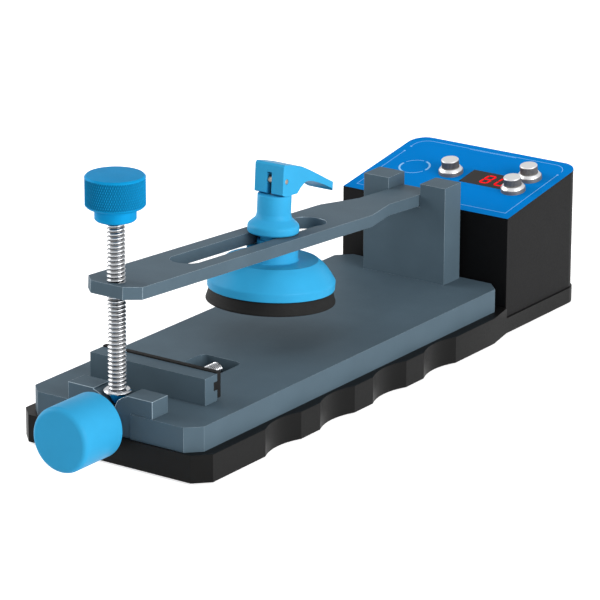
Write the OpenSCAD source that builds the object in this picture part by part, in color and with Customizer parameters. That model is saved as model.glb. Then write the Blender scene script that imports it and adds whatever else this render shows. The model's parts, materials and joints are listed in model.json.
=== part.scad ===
// Bench tool that parts a glued screen: heated plate, clamp, hinged arm with a cam-lever suction cup.
// X to the right, Y to the back, Z up, origin on the floor below the middle of the whole tool.

/* [Base tray] */
// Width of the tray
base_w = 87.9; // [84:0.1:120]
// Height of the tray
base_h = 10.9; // [9:0.1:16]
// Length of the tray in front of the controller
base_l = 212.6; // [205:0.1:260]
// Chamfer of the two front corners
base_chamfer = 5.92; // [2:0.01:9]
// Floor below the insulation
tray_floor = 2.4; // [1.6:0.1:4]
// Finger scallops on each side
scallop_count = 4; // [1:1:4]
// Front edge to the first scallop
scallop_start = 38.94; // [30:0.1:45]
// Pitch of the scallops
scallop_pitch = 35.85; // [28:0.1:38]
// Opening of one scallop along the side
scallop_chord = 23.25; // [12:0.1:26]
// Depth of one scallop
scallop_depth = 2.7; // [1:0.1:3.2]
// Length of the tapered end in front of the controller
taper_l = 13.9; // [8:0.1:16]
// Height of the flange under the controller
flange_h = 6.56; // [5.5:0.01:8]
// Rim of the flange outside the controller case
flange_rim = 0.6; // [0.2:0.1:1.5]
// Length of the heater pocket
pocket_l = 122; // [80:1:125]
// Width of the heater pocket
pocket_w = 68; // [40:1:72]
// Diameter of a rubber foot
foot_d = 12; // [8:0.5:14]
// Height of a foot below the tray
foot_proud = 0.8; // [0.5:0.1:2]
// Depth of a foot's recess
foot_recess = 1.2; // [0.8:0.1:2]

/* [Heating plate] */
// Width of the plate
plate_w = 79.08; // [74:0.1:84]
// Length of the plate
plate_l = 209.8; // [204:0.1:211]
// Thickness of the plate
plate_t = 9.74; // [8:0.01:12]
// Front edge of the tray to the plate
plate_inset = 1.07; // [0.5:0.01:1.2]
// Chamfer of the plate's front corners
plate_chamfer = 5.4; // [2:0.1:8]
// Width of the guide slot for the jaw
guide_w = 19.2; // [15:0.1:22]
// Front edge of the plate to the end of the guide slot
guide_l = 71; // [69:1:74]
// Corner radius at the end of the guide slot
guide_r = 3; // [1:0.5:5]
// Thickness of the heater pad
heater_t = 1.5; // [0.8:0.1:3]
// Diameter of the temperature sensor
sensor_d = 3; // [2:0.1:4]
// Length of the temperature sensor
sensor_l = 30; // [15:1:40]

/* [Front block] */
// Width of the block over both ears
block_w = 39.32; // [36:0.1:46]
// Depth of the block from front to back
block_d = 9.65; // [8:0.05:10]
// Front edge of the tray to the block
block_inset = 1.4; // [1.2:0.1:2]
// Height of the ears above the plate
ear_h = 6.8; // [6.5:0.1:9]
// Width of the valley at its mouth
valley_w = 15.3; // [14.8:0.1:16]
// Radius of the rounded flanks of the valley
flank_r = 6.1; // [6:0.05:6.3]
// Half distance between the axes of the rounded flanks
flank_x = 8.3; // [8.2:0.05:8.6]
// Height of a flank's axis above the plate
flank_lift = 0.16; // [0:0.01:0.3]

/* [Lift screw] */
// Diameter over the thread
lift_d = 7.1; // [6:0.1:8]
// Screw axis behind the front edge of the tray
lift_y = 6.1; // [5.5:0.05:6.5]
// Underside of the foot's flange above the plate
lift_foot_z = 5.66; // [5.6:0.01:6]
// Flange of the swivel foot
lift_flange_d = 10.8; // [9:0.1:11]
// Thickness of that flange
lift_flange_t = 1.2; // [0.8:0.1:2]
// Diameter of the foot below its flange
lift_nose_d = 5.8; // [5:0.1:6]
// Height of the foot below its flange
lift_nose_l = 4; // [3:0.1:4.4]
// Height of the knob's collar above the foot's flange
lift_rise = 65.5; // [55:0.1:80]
// Diameter of the collar
lift_collar_d = 15.6; // [12:0.1:18]
// Height of the collar
lift_collar_h = 5.1; // [4:0.1:8]
// Diameter of the knurled knob
lift_knob_d = 22.6; // [18:0.1:28]
// Height of the knurled knob
lift_knob_h = 12; // [8:0.1:14]
// Bevel of the knob's rims
lift_knob_bevel = 0.7; // [0.3:0.1:1.5]

/* [Clamp] */
// Diameter of the clamp screw
clamp_d = 6; // [5:0.1:6.4]
// Axis of the clamp screw above the tray
clamp_lift = 6.3; // [5.6:0.05:6.4]
// Rear end of the clamp screw behind the block
clamp_reach = 57.5; // [56:0.5:59]
// Diameter of the clamp knob
clamp_knob_d = 25.4; // [20:0.1:27]
// Length of the clamp knob
clamp_knob_l = 22.3; // [15:0.1:26]
// Rounding of the knob's front edge
clamp_knob_r = 2.3; // [1:0.1:4]
// Rounding of the knob's rear edge
clamp_knob_back_r = 1; // [0.4:0.1:2]
// Diameter of the knob's hub
clamp_hub_d = 8; // [7.5:0.1:12]
// Length of the knob's hub
clamp_hub_l = 8.4; // [6:0.1:16]
// Width of the jaw
jaw_w = 53.94; // [45:0.1:70]
// Thickness of the jaw
jaw_t = 7.7; // [6.5:0.1:10]
// Height of the jaw above the plate
jaw_h = 10.66; // [9:0.1:14]
// Block to the jaw
jaw_gap = 13.08; // [12:0.1:15]
// Thickness of the rubber strip
pad_t = 2.3; // [1.5:0.1:3]
// Height of the rubber strip
pad_h = 10.3; // [8:0.1:11]
// Gap below the rubber strip
pad_lift = 0.96; // [0.3:0.1:1.5]
// Height of the strip's rib
rib_h = 3.3; // [2:0.1:4]
// Depth of the strip's rib
rib_d = 2.2; // [1:0.1:3]
// Outer diameter of the brass nut
nut_d = 8.4; // [8:0.1:9]

/* [Yoke] */
// Width over both towers
yoke_w = 39.55; // [36:0.1:46]
// Gap between the towers
yoke_gap = 15.35; // [15.1:0.05:15.8]
// Depth from front to back
yoke_d = 11.7; // [10:0.1:12]
// Height above the plate
yoke_h = 40.96; // [39:0.1:46]
// Gap between the yoke and the front of the case
yoke_back = 3.4; // [2:0.1:5]
// Pivot axis above the plate
pivot_lift = 33.56; // [32:0.1:35]
// Front face of the yoke to the pivot
pivot_set = 5.9; // [5:0.1:6]
// Diameter of the pivot pin
pin_d = 2.5; // [2:0.1:3]
// Length of the pivot pin
pin_l = 35.5; // [30:0.5:36]

/* [Arm] */
// Width of the arm
arm_w = 25.3; // [23:0.1:30]
// Thickness of the arm
arm_t = 4.8; // [4:0.1:6]
// Front edge of the tray to the front end of the arm
arm_front = 0.22; // [0:0.01:1]
// Height of the arm's front end above its rear end, in degrees
arm_tilt = 3.7; // [3:0.1:4]
// Chamfer of the front corners
arm_chamfer = 5.2; // [3:0.1:7]
// Length of the full width
arm_full = 155.8; // [145:0.1:160]
// Length of the tapered stretch
arm_taper = 19.7; // [12:0.1:25]
// Width of the tongue in the yoke
tongue_w = 14.8; // [14:0.1:15]
// Tongue behind the pivot
tongue_end = 4.9; // [3.5:0.1:5]
// Width of the long slot
arm_slot_w = 12.7; // [12.6:0.1:14]
// Front end of the arm to the middle of the slot's front end
arm_slot_front = 48.9; // [40:0.1:60]
// Front end of the arm to the middle of the keyhole end
arm_slot_back = 129.1; // [128:0.1:135]
// Diameter of the keyhole end
keyhole_d = 14.4; // [13:0.1:17]

/* [Suction cup] */
// Front end of the arm to the cup's axis
cup_s = 105.25; // [100:0.1:106]
// Diameter of the guide ring in the slot
bush_d = 12.5; // [12:0.1:12.5]
// Diameter of the bush above its guide ring
bush_neck_d = 10.26; // [9.5:0.1:11]
// Height of the guide ring
bush_ring_h = 2.2; // [1.5:0.1:3]
// Diameter of the cup's hollow stem
stem_d = 7.9; // [7:0.1:8.2]
// Stem above the arm
stem_rise = 7; // [5:0.1:9]
// Diameter of the plunger's rod
rod_d = 3.5; // [3:0.1:3.8]
// Diameter of the sleeve's neck
neck_d = 13.36; // [12:0.1:15]
// Diameter of the sleeve's collar
collar_d = 20.26; // [18:0.1:22]
// Height of the collar
collar_h = 3.3; // [2:0.1:4]
// Height of the flare between collar and neck
flare_h = 4.3; // [3:0.1:6]
// Height of the neck
neck_h = 7.75; // [7:0.05:9]
// Diameter of the boss below the arm
boss_d = 20.2; // [18:0.1:22]
// Top of the boss to the rim of the dome
dome_drop = 16.8; // [15:0.1:20]
// Largest diameter of the dome
dome_d = 50.2; // [46:0.1:56]
// Height of the dome's flank, from its widest ring to its shelf
dome_flank = 8.1; // [7:0.1:9]
// Radius of the flat shelf round the boss
dome_shelf_r = 18.1; // [16:0.1:20]
// Height of the band at the dome's rim
dome_band = 3.4; // [2:0.1:4]
// Narrowing of the dome at its rim
dome_draw = 0.2; // [0:0.1:1.5]
// Wall of the dome
dome_wall = 2.2; // [1.5:0.1:3]
// Diameter of the rubber at its lip
rubber_d = 50.8; // [47:0.1:57]
// Diameter of the rubber at its top
rubber_top_d = 48.4; // [44:0.1:50]
// Height of the rubber
rubber_h = 5.05; // [4:0.05:7]
// Height of the rubber's lip
lip_h = 0.7; // [0.4:0.1:1.2]
// Width of the rubber's lip
lip_w = 2; // [1:0.1:3]
// Depth of the hollow under the rubber
rubber_hollow = 3.4; // [2:0.1:4]
// Diameter of the plunger's plate
plunger_plate_d = 30; // [20:1:34]
// Thickness of the plunger's plate
plunger_plate_t = 1.5; // [1:0.1:2.5]
// Travel of the plunger when the lever stands up
plunger_travel = 1; // [0.5:0.1:1]

/* [Cam lever] */
// Width of the lever
lever_w = 13.4; // [12:0.1:16]
// Rounding of the corners at the lever's tip, seen from above
lever_tip_r = 2.6; // [2:0.1:6]
// Length from the front face to the tip
lever_l = 36.1; // [30:0.1:40]
// Height from the lowest to the highest point
lever_h = 16.2; // [15:0.1:18]
// Pin to the highest point
lever_crown = 6.85; // [6.2:0.05:7.5]
// Front face to the pin
lever_pin_set = 2.45; // [2.2:0.05:3]
// Cup's axis to the pin, towards the front
lever_pin_front = 1.7; // [1:0.1:2]
// Lever's underside to the pin
cam_r = 5.9; // [5.5:0.05:6.5]
// Width of the slot in the lever
lever_slot_w = 2.5; // [2:0.1:3]
// Slot above the pin
lever_slot_rise = 3.3; // [2.4:0.1:3.6]
// Diameter of the lever's pin
lever_pin_d = 2; // [1.5:0.1:2.4]

/* [Controller case] */
// Width of the case
case_w = 80.8; // [78:0.1:81]
// Length of the case
case_l = 56.4; // [54:0.1:70]
// Height of the front edge above the floor of the tray
case_front_h = 48.84; // [44:0.1:60]
// Rise of the sloping top to the back
case_rise = 9.11; // [4:0.1:14]
// Radius of the two rear corners
case_corner_r = 7.5; // [5:0.1:9]
// Wall of the case
case_wall = 2; // [1.6:0.1:2.4]
// Thickness of the panel sheet
panel_t = 0.8; // [0.5:0.1:1.2]
// Left edge of the display window
window_x = 1.6; // [-1:0.1:2]
// Length of the display window up the slope
window_l = 12.4; // [10:0.1:14]
// Thickness of the display window
window_t = 2; // [1.2:0.1:2.4]
// Width of a digit
digit_w = 4.4; // [3.5:0.1:5]
// Height of a digit
digit_h = 7.9; // [6:0.1:9]
// Pitch of the digits
digit_pitch = 7; // [6:0.1:7.2]
// Left edge of the window to the middle of the first lit digit
digit_x = 10.5; // [9:0.1:12]
// Width of a segment
segment_w = 0.9; // [0.6:0.1:1.1]
// Depth of a segment in the window
segment_t = 0.4; // [0.2:0.1:0.8]

/* [Buttons and boards] */
// Middle of the left button
button_left_x = -5.9; // [-20:0.1:-5.5]
// Diameter of a cap
cap_d = 7.4; // [6:0.1:7.6]
// Height of a cap above the panel
cap_h = 6.2; // [5:0.1:8]
// Travel of a cap
cap_travel = 1.2; // [0.6:0.1:1.4]
// Diameter of a collar
button_collar_d = 10.3; // [10:0.1:12]
// Height of a collar
button_collar_h = 2.9; // [2:0.1:4]
// Size of a switch body
switch_w = 10; // [8:0.1:11]
// Height of a switch body
switch_h = 4.3; // [4:0.1:6]
// Thickness of the boards
board_t = 1.6; // [1:0.1:2]
// Width of the control board
control_w = 71; // [68:0.5:72]
// Width of the power board
power_w = 56; // [40:0.5:58]
// Width of the mains inlet's flange
inlet_w = 31; // [29:0.1:34]
// Height of the mains inlet's flange
inlet_h = 24; // [22:0.1:26]
// Flange of the inlet outside the case
inlet_proud = 1.2; // [0.8:0.1:2]
// Middle of the inlet above the flange of the tray
inlet_lift = 18; // [16:0.5:20]
// Width of the inlet's socket
socket_w = 24.4; // [22:0.1:25]
// Height of the inlet's socket
socket_h = 16.5; // [15:0.1:17]
// Depth of the inlet's socket
socket_d = 16; // [14:0.5:18]

/* [Hidden] */
$fn = 96;

// Overrun of every cut past the face it leaves
cut = 1;
// Clearance between pieces that stay put
fit_gap = 0.05;
// Clearance of a shaft that turns or slides
run_gap = 0.06;
// Clearance between pieces that move past each other
move_gap = 0.2;

// Thickness of the skirt that keeps a cap in its collar
cap_skirt_t = 1.2;
// Switch body to the skirt of a pressed cap
switch_play = 0.8;

// Screws of the plate to the side of the tray
plate_bolt_side = 11;

// Places that follow from the sizes
front_y = block_inset - run_gap - clamp_hub_l - clamp_knob_l;
back_y = base_l + case_l + inlet_proud;
frame_y = -(front_y + back_y) / 2;
plate_top = base_h + plate_t;
clamp_z = base_h + clamp_lift;
jaw_y = block_inset + block_d + jaw_gap;
yoke_y = base_l - yoke_back - yoke_d;
pivot_y = yoke_y + pivot_set;
arm_l = (pivot_y - arm_front) / cos(arm_tilt);
pivot_z = plate_top + pivot_lift;
panel_tilt = atan(case_rise / case_l);
panel_l = case_l / cos(panel_tilt);
lift_z = plate_top + lift_foot_z + lift_flange_t;
flange_w = case_w + flange_rim * 2;
// Screws of the yoke, and the sensor's bore halfway from them to the screws of the plate
yoke_bolt_x = (yoke_gap + yoke_w) / 4;
sensor_x = (yoke_bolt_x + base_w / 2 - plate_bolt_side) / 2;
// Case ceiling to the control board: skirt of a cap, its travel and the switch body
board_gap = move_gap + cap_skirt_t + cap_travel + switch_play + switch_h;

// Small sizes of the tray
pocket_back = 12.6;
wire_w = 8;
wire_h = 4;
foot_side = 11;
foot_front = 12;
foot_back = 18.5;

// Screws: thread radius, head radius, head height, hexagon key radius
plate_bolt = [2, 3.5, 3, 1.6];
yoke_bolt = [2.5, 4.25, 5, 2.1];
small_bolt = [1.5, 2.75, 2.6, 1.3];
board_bolt = [1.1, 2.1, 1.6, 0.9];
// Grub screws: thread radius, hexagon key radius
grub_bolt = [1.5, 0.8];
bolt_grip = 7;
yoke_grip = 14;
block_grip = 5;
case_grip = 8;
board_grip = 4;
bolt_sink = 0.2;
plate_bolt_front = 32;
plate_bolt_back = 7;
block_bolt_x = 14.6;
case_bolt_side = 5.4;
case_bolt_front = 6.9;
case_bolt_back = 7;
grub_l = 5;
grub_sink = 0.4;

// Small sizes of the lift screw and its knob
lift_pin_r = 1.6;
lift_pin_l = 3.2;
lift_nose_bevel = 1.2;
lift_socket = 3;

// Small sizes of the clamp
clip_t = 1;
clip_r = 5;
clip_groove = 0.5;
clip_mouth = 3;
clamp_socket = 13;
clamp_grub_set = 5;
lug_gap = 0.2;

// Small sizes of the cup and its lever
tongue_t = 2.4;
eye_wall = 0.75;
eye_r = lever_pin_d / 2 + eye_wall;
// Trough in the yoke, just clear of the tongue's corners as the arm swings
trough_r = norm([tongue_end, arm_t / 2]) + run_gap * 2;
// Drop of the plunger for each radian that the lever turns
cam_slope = plunger_travel / (PI / 2);
// Turn of the lever, in degrees, up to which its curved cam bears on the sleeve
cam_turn = 32;
cam_steps = 4;
dome_steps = 10;
// Bulge of the dome's flank beyond a cone
dome_bulge = 1;
dome_roof = 2.5;
flare_bulge = 0.5;
lever_bevel = 0.8;
// Outline of the lever as shares of its length and height, from its lowest front corner
lever_top_shares = [
    [0.151, 0.951], [0.343, 0.852], [0.497, 0.71], [0.691, 0.512], [0.83, 0.365], [0.93, 0.265],
    [0.98, 0.22], [1, 0.17], [0.999, 0.05], [0.985, 0]
];
lever_side_shares = [
    [0.93, 0.09], [0.868, 0.155], [0.79, 0.23], [0.68, 0.325], [0.571, 0.405], [0.476, 0.45],
    [0.419, 0.44], [0.339, 0.339]
];
fork_share = 0.276;

// Small sizes of the case and what is in it
boss_r = 3.6;
case_boss_h = 14;
board_boss_r = 2.6;
board_bolt_in = 3.4;
// Layout of the panel as shares of its length: front edge of the window, middles of the buttons
window_share = 0.413;
button_left_share = 0.5164;
button_front_share = 0.434;
button_back_share = 0.658;
window_s = window_share * panel_l;
// The window ends just past the last digit, and the right buttons stand just past the window
window_rim = 0.9;
window_clear = 0.25;
window_w = digit_x + digit_pitch + digit_w / 2 + window_rim;
button_right_x = window_x + window_w + window_clear + button_collar_d / 2;
// Control board to the front edge of the panel, and its length to behind the switches
board_s = 8.5;
control_l = button_back_share * panel_l + switch_w / 2 + board_bolt_in * 2 - board_s;
// Room in front of and behind the power board, and its length
power_s = 12;
power_back = 16.4;
power_l = case_l - power_s - power_back;
power_post_h = 4;
module_inset = 1;
cap_skirt = 0.5;
segment_gap = 0.2;
cap_stem_d = 3.4;
cap_stem_l = 3.3;
neck_wall = 0.9;
transformer_share = 0.42;
transformer_h = 16;
capacitor_r = 5;
capacitor_h = 15;
relay_w = 9;
relay_h = 11;
inlet_wall = 1.6;
inlet_corner = 2.5;
inlet_key = 5;
inlet_pin_w = 2;
inlet_pin_h = 4;
inlet_pin_l = 10;
inlet_pin_x = 7;
inlet_pin_up = 2;
cap_bevel = 0.5;

button_spots = [
    [button_left_x, button_left_share * panel_l], [button_right_x, button_front_share * panel_l],
    [button_right_x, button_back_share * panel_l]
];
plate_bolt_spots = [
    for (side = [-1, 1], y = [plate_bolt_front, base_l - plate_bolt_back])
        [side * (base_w / 2 - plate_bolt_side), y]
];
foot_spots = [
    for (side = [-1, 1], y = [foot_front, base_l + case_l - foot_back])
        [side * (base_w / 2 - foot_side), y]
];
case_bolt_spots = [
    for (side = [-1, 1], y = [base_l + case_bolt_front, base_l + case_l - case_bolt_back])
        [side * (case_w / 2 - case_bolt_side), y]
];
control_bolt_spots = [
    for (side = [-1, 1], s = [board_s + board_bolt_in, board_s + control_l - board_bolt_in])
        [side * (control_w / 2 - board_bolt_in), s]
];
power_bolt_spots = [
    for (side = [-1, 1], y = [power_s + board_bolt_in, power_s + power_l - board_bolt_in])
        [side * (power_w / 2 - board_bolt_in), base_l + y]
];
seven_segments = [
    [0, 1, 0], [0, 0, 0], [0, -1, 0], [-1, 0.5, 1], [1, 0.5, 1], [-1, -0.5, 1], [1, -0.5, 1]
];
lit_digits = [[1, 1, 1, 1, 1, 1, 1], [1, 0, 1, 1, 1, 1, 1]];

// Moves a piece from the corner of the tray into the part's own frame
module place() {
    translate([0, frame_y, foot_proud]) children();
}

// Frame of the arm: middle of its front lower edge, Y along the arm, Z square to it
module on_arm() {
    place()
        translate([0, pivot_y, pivot_z])
            rotate([-arm_tilt, 0, 0])
                translate([0, -arm_l, -arm_t / 2])
                    children();
}

// Frame of the cup: its axis where it meets the arm's underside
module on_cup() {
    on_arm() translate([0, cup_s, 0]) children();
}

// Frame of the panel: middle of its front upper edge, Y up the slope, Z square to it
module on_panel() {
    place()
        translate([0, base_l, case_front_h])
            rotate([panel_tilt, 0, 0])
                children();
}

// Turns a piece that stands along Z so that it lies along Y, pointing back
module along_y() {
    rotate([-90, 0, 0]) children();
}

// Turns a piece that stands along Z so that it lies along X, pointing right
module along_x() {
    rotate([0, 90, 0]) children();
}

// Box centred on X and Y, standing on Z
module slab(w, d, h) {
    translate([-w / 2, -d / 2, 0]) cube([w, d, h]);
}

// Cap screw that stands on its head, with the underside of the head at Z zero
module bolt(sizes, grip) {
    difference() {
        union() {
            cylinder(r = sizes[0], h = grip);
            translate([0, 0, -sizes[2]]) cylinder(r = sizes[1], h = sizes[2]);
        }
        translate([0, 0, -sizes[2] - cut]) cylinder(r = sizes[3], h = cut + sizes[2] / 2, $fn = 6);
    }
}

// Hole for that screw: its thread, and a counterbore below Z zero
module bolt_hole(sizes, grip, sink) {
    cylinder(r = sizes[0] + fit_gap, h = grip + fit_gap);
    translate([0, 0, -sink]) cylinder(r = sizes[1] + move_gap, h = sink);
}

// Grub screw along Z with its key hole at the lower end
module grub_screw(l) {
    difference() {
        cylinder(r = grub_bolt[0], h = l);
        translate([0, 0, -cut]) cylinder(r = grub_bolt[1], h = cut + l / 2, $fn = 6);
    }
}

// Flat outline with two rounded rear corners, front edge on the X axis
module rear_rounded(w, l, r) {
    translate([-w / 2, 0]) square([w, l - r]);
    translate([-w / 2 + r, 0]) square([w - r * 2, l]);
    for (side = [-1, 1]) translate([side * (w / 2 - r), l - r]) circle(r);
}

// Plan of a plate with its four corners cut off, from its front edge back
module chamfered_plan(w, l, c) {
    polygon([
        [-w / 2 + c, 0], [w / 2 - c, 0], [w / 2, c], [w / 2, l - c],
        [w / 2 - c, l], [-w / 2 + c, l], [-w / 2, l - c], [-w / 2, c]
    ]);
}

// Depth of the screw head's pocket in the underside of the tray
function sunk(sizes) = sizes[2] + bolt_sink;

module tray_outline() {
    half = base_w / 2;
    rear = flange_w / 2;
    straight = base_l - taper_l;
    scallop_r = (pow(scallop_chord / 2, 2) + pow(scallop_depth, 2)) / (scallop_depth * 2);
    difference() {
        polygon([
            [-half + base_chamfer, 0], [half - base_chamfer, 0], [half, base_chamfer], [half, straight],
            [rear, base_l], [-rear, base_l], [-half, straight], [-half, base_chamfer]
        ]);
        for (side = [-1, 1], i = [0:scallop_count - 1])
            translate([
                side * (half - scallop_depth + scallop_r),
                scallop_start + scallop_chord / 2 + i * scallop_pitch
            ])
                circle(scallop_r);
    }
}

module base_tray() {
    pocket_y = base_l - pocket_back - pocket_l;
    color("#2b2b2d") place() difference() {
        union() {
            linear_extrude(base_h) tray_outline();
            translate([0, base_l, 0])
                linear_extrude(flange_h)
                    rear_rounded(flange_w, case_l + flange_rim, case_corner_r + flange_rim);
            for (spot = power_bolt_spots)
                translate([spot[0], spot[1], 0])
                    cylinder(r = board_boss_r, h = flange_h + power_post_h);
        }
        translate([-pocket_w / 2, pocket_y, tray_floor]) cube([pocket_w, pocket_l, base_h]);
        translate([-wire_w / 2, pocket_y + pocket_l - cut, base_h - wire_h])
            cube([wire_w, pocket_back + cut * 2, wire_h + cut]);
        for (spot = foot_spots)
            translate([spot[0], spot[1], -cut]) cylinder(d = foot_d + fit_gap * 2, h = foot_recess + cut);
        for (spot = plate_bolt_spots)
            translate([spot[0], spot[1], sunk(plate_bolt)])
                bolt_hole(plate_bolt, base_h, sunk(plate_bolt) + cut);
        for (spot = case_bolt_spots)
            translate([spot[0], spot[1], sunk(small_bolt)])
                bolt_hole(small_bolt, base_h, sunk(small_bolt) + cut);
        for (spot = power_bolt_spots)
            translate([spot[0], spot[1], flange_h + power_post_h - board_grip])
                cylinder(r = board_bolt[0] + fit_gap, h = board_grip + cut);
    }
}

module rubber_feet() {
    color("#161616") place()
        for (spot = foot_spots)
            translate([spot[0], spot[1], -foot_proud]) cylinder(d = foot_d, h = foot_recess + foot_proud);
}

module guide_outline(l) {
    translate([-guide_w / 2, 0]) square([guide_w, l - guide_r]);
    translate([-guide_w / 2 + guide_r, 0]) square([guide_w - guide_r * 2, l]);
    for (side = [-1, 1]) translate([side * (guide_w / 2 - guide_r), l - guide_r]) circle(guide_r);
}

module heating_plate() {
    color("#4d5f6b") place() translate([0, 0, base_h]) difference() {
        translate([0, plate_inset, 0])
            linear_extrude(plate_t) chamfered_plan(plate_w, plate_l, plate_chamfer);
        translate([0, plate_inset - cut, -cut])
            linear_extrude(plate_t + cut * 2) guide_outline(guide_l + cut);
        for (spot = plate_bolt_spots)
            translate([spot[0], spot[1], -cut])
                cylinder(r = plate_bolt[0] + fit_gap, h = bolt_grip + cut);
        for (side = [-1, 1]) {
            translate([side * yoke_bolt_x, yoke_y + yoke_d / 2, sunk(yoke_bolt)])
                bolt_hole(yoke_bolt, plate_t, sunk(yoke_bolt) + cut);
            translate([side * block_bolt_x, block_inset + block_d / 2, sunk(small_bolt)])
                bolt_hole(small_bolt, plate_t, sunk(small_bolt) + cut);
        }
        translate([sensor_x, plate_inset + plate_l - sensor_l, plate_t / 2])
            along_y() cylinder(d = sensor_d + fit_gap * 2, h = sensor_l + cut);
    }
}

module pocket_sheet(z, t) {
    inside = pocket_w - fit_gap * 2;
    translate([-inside / 2, base_l - pocket_back - pocket_l + fit_gap, z])
        cube([inside, pocket_l - fit_gap * 2, t]);
}

module heater_pad() {
    color("#b8432c") place() pocket_sheet(base_h - heater_t, heater_t);
}

module insulation_sheet() {
    color("#d8d2c4") place() pocket_sheet(tray_floor, base_h - heater_t - tray_floor);
}

module temp_sensor() {
    color("silver") place()
        translate([sensor_x, plate_inset + plate_l - sensor_l, base_h + plate_t / 2])
            along_y() cylinder(d = sensor_d, h = sensor_l);
}

module front_block() {
    tenon_w = guide_w - fit_gap * 2;
    color("#4d5f6b") place() translate([0, block_inset, base_h]) difference() {
        union() {
            translate([-tenon_w / 2, 0, 0]) cube([tenon_w, block_d, plate_t + flank_lift]);
            intersection() {
                translate([-block_w / 2, 0, plate_t]) cube([block_w, block_d, ear_h]);
                for (side = [-1, 1]) {
                    translate([side * flank_x, 0, plate_t + flank_lift])
                        along_y() cylinder(r = flank_r, h = block_d);
                    translate([side * (block_w + valley_w) / 4, block_d / 2, plate_t])
                        slab((block_w - valley_w) / 2, block_d, ear_h);
                }
            }
        }
        translate([0, -cut, clamp_lift])
            along_y() cylinder(d = clamp_d + run_gap * 2, h = block_d + cut * 2);
        for (side = [-1, 1])
            translate([side * block_bolt_x, block_d / 2, plate_t - cut])
                cylinder(r = small_bolt[0] + fit_gap, h = block_grip + cut);
    }
}

// The notch for the arm: down to the resting arm, with a round trough for the end of its tongue
module yoke() {
    slot_z = pivot_lift - arm_t / 2 - run_gap;
    color("#4d5f6b") place() translate([0, yoke_y, plate_top]) difference() {
        translate([-yoke_w / 2, 0, 0]) cube([yoke_w, yoke_d, yoke_h]);
        translate([-yoke_gap / 2, -cut, slot_z]) cube([yoke_gap, yoke_d + cut * 2, yoke_h]);
        translate([-yoke_gap / 2, pivot_set, pivot_lift]) along_x() cylinder(r = trough_r, h = yoke_gap);
        for (side = [-1, 1])
            translate([side * yoke_bolt_x, yoke_d / 2, -cut])
                cylinder(r = yoke_bolt[0] + fit_gap, h = yoke_grip + cut);
        translate([-yoke_w / 2 - cut, pivot_set, pivot_lift])
            along_x() cylinder(d = pin_d + fit_gap * 2, h = pin_l + fit_gap + cut);
    }
}

module pivot_pin() {
    color("silver") place()
        translate([-yoke_w / 2, pivot_y, pivot_z]) along_x() cylinder(d = pin_d, h = pin_l);
}

module plate_screws() {
    color("#3b3b3d") place()
        for (spot = plate_bolt_spots)
            translate([spot[0], spot[1], sunk(plate_bolt)])
                bolt(plate_bolt, base_h - sunk(plate_bolt) + bolt_grip - fit_gap);
}

module yoke_screws() {
    color("#3b3b3d") place()
        for (side = [-1, 1])
            translate([side * yoke_bolt_x, yoke_y + yoke_d / 2, base_h + sunk(yoke_bolt)])
                bolt(yoke_bolt, plate_t - sunk(yoke_bolt) + yoke_grip - fit_gap);
}

module block_screws() {
    color("#3b3b3d") place()
        for (side = [-1, 1])
            translate([side * block_bolt_x, block_inset + block_d / 2, base_h + sunk(small_bolt)])
                bolt(small_bolt, plate_t - sunk(small_bolt) + block_grip - fit_gap);
}

// Solid wedge of the controller, inset on all walls and lowered from the panel
module case_solid(inset, down) {
    lower = down / cos(panel_tilt);
    front_z = case_front_h - lower + inset * tan(panel_tilt);
    back_z = case_front_h - lower + (case_l - inset) * tan(panel_tilt);
    intersection() {
        translate([0, base_l + inset, 0])
            linear_extrude(case_front_h + case_rise)
                rear_rounded(case_w - inset * 2, case_l - inset * 2, case_corner_r - inset);
        translate([-case_w / 2, 0, 0])
            rotate([90, 0, 90])
                linear_extrude(case_w)
                    polygon([
                        [base_l + inset, flange_h - (inset > 0 ? cut : 0)], [base_l + inset, front_z],
                        [base_l + case_l - inset, back_z],
                        [base_l + case_l - inset, flange_h - (inset > 0 ? cut : 0)]
                    ]);
    }
}

module inlet_outline(grow) {
    w = socket_w + grow * 2;
    h = socket_h + grow * 2;
    polygon([
        [-w / 2, -h / 2], [w / 2, -h / 2], [w / 2, h / 2 - inlet_key], [w / 2 - inlet_key, h / 2],
        [-w / 2 + inlet_key, h / 2], [-w / 2, h / 2 - inlet_key]
    ]);
}

// Frame of the inlet: middle of the case's rear face, Z pointing forwards into the case
module at_inlet() {
    place() translate([0, base_l + case_l, flange_h + inlet_lift]) rotate([90, 0, 0]) children();
}

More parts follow.
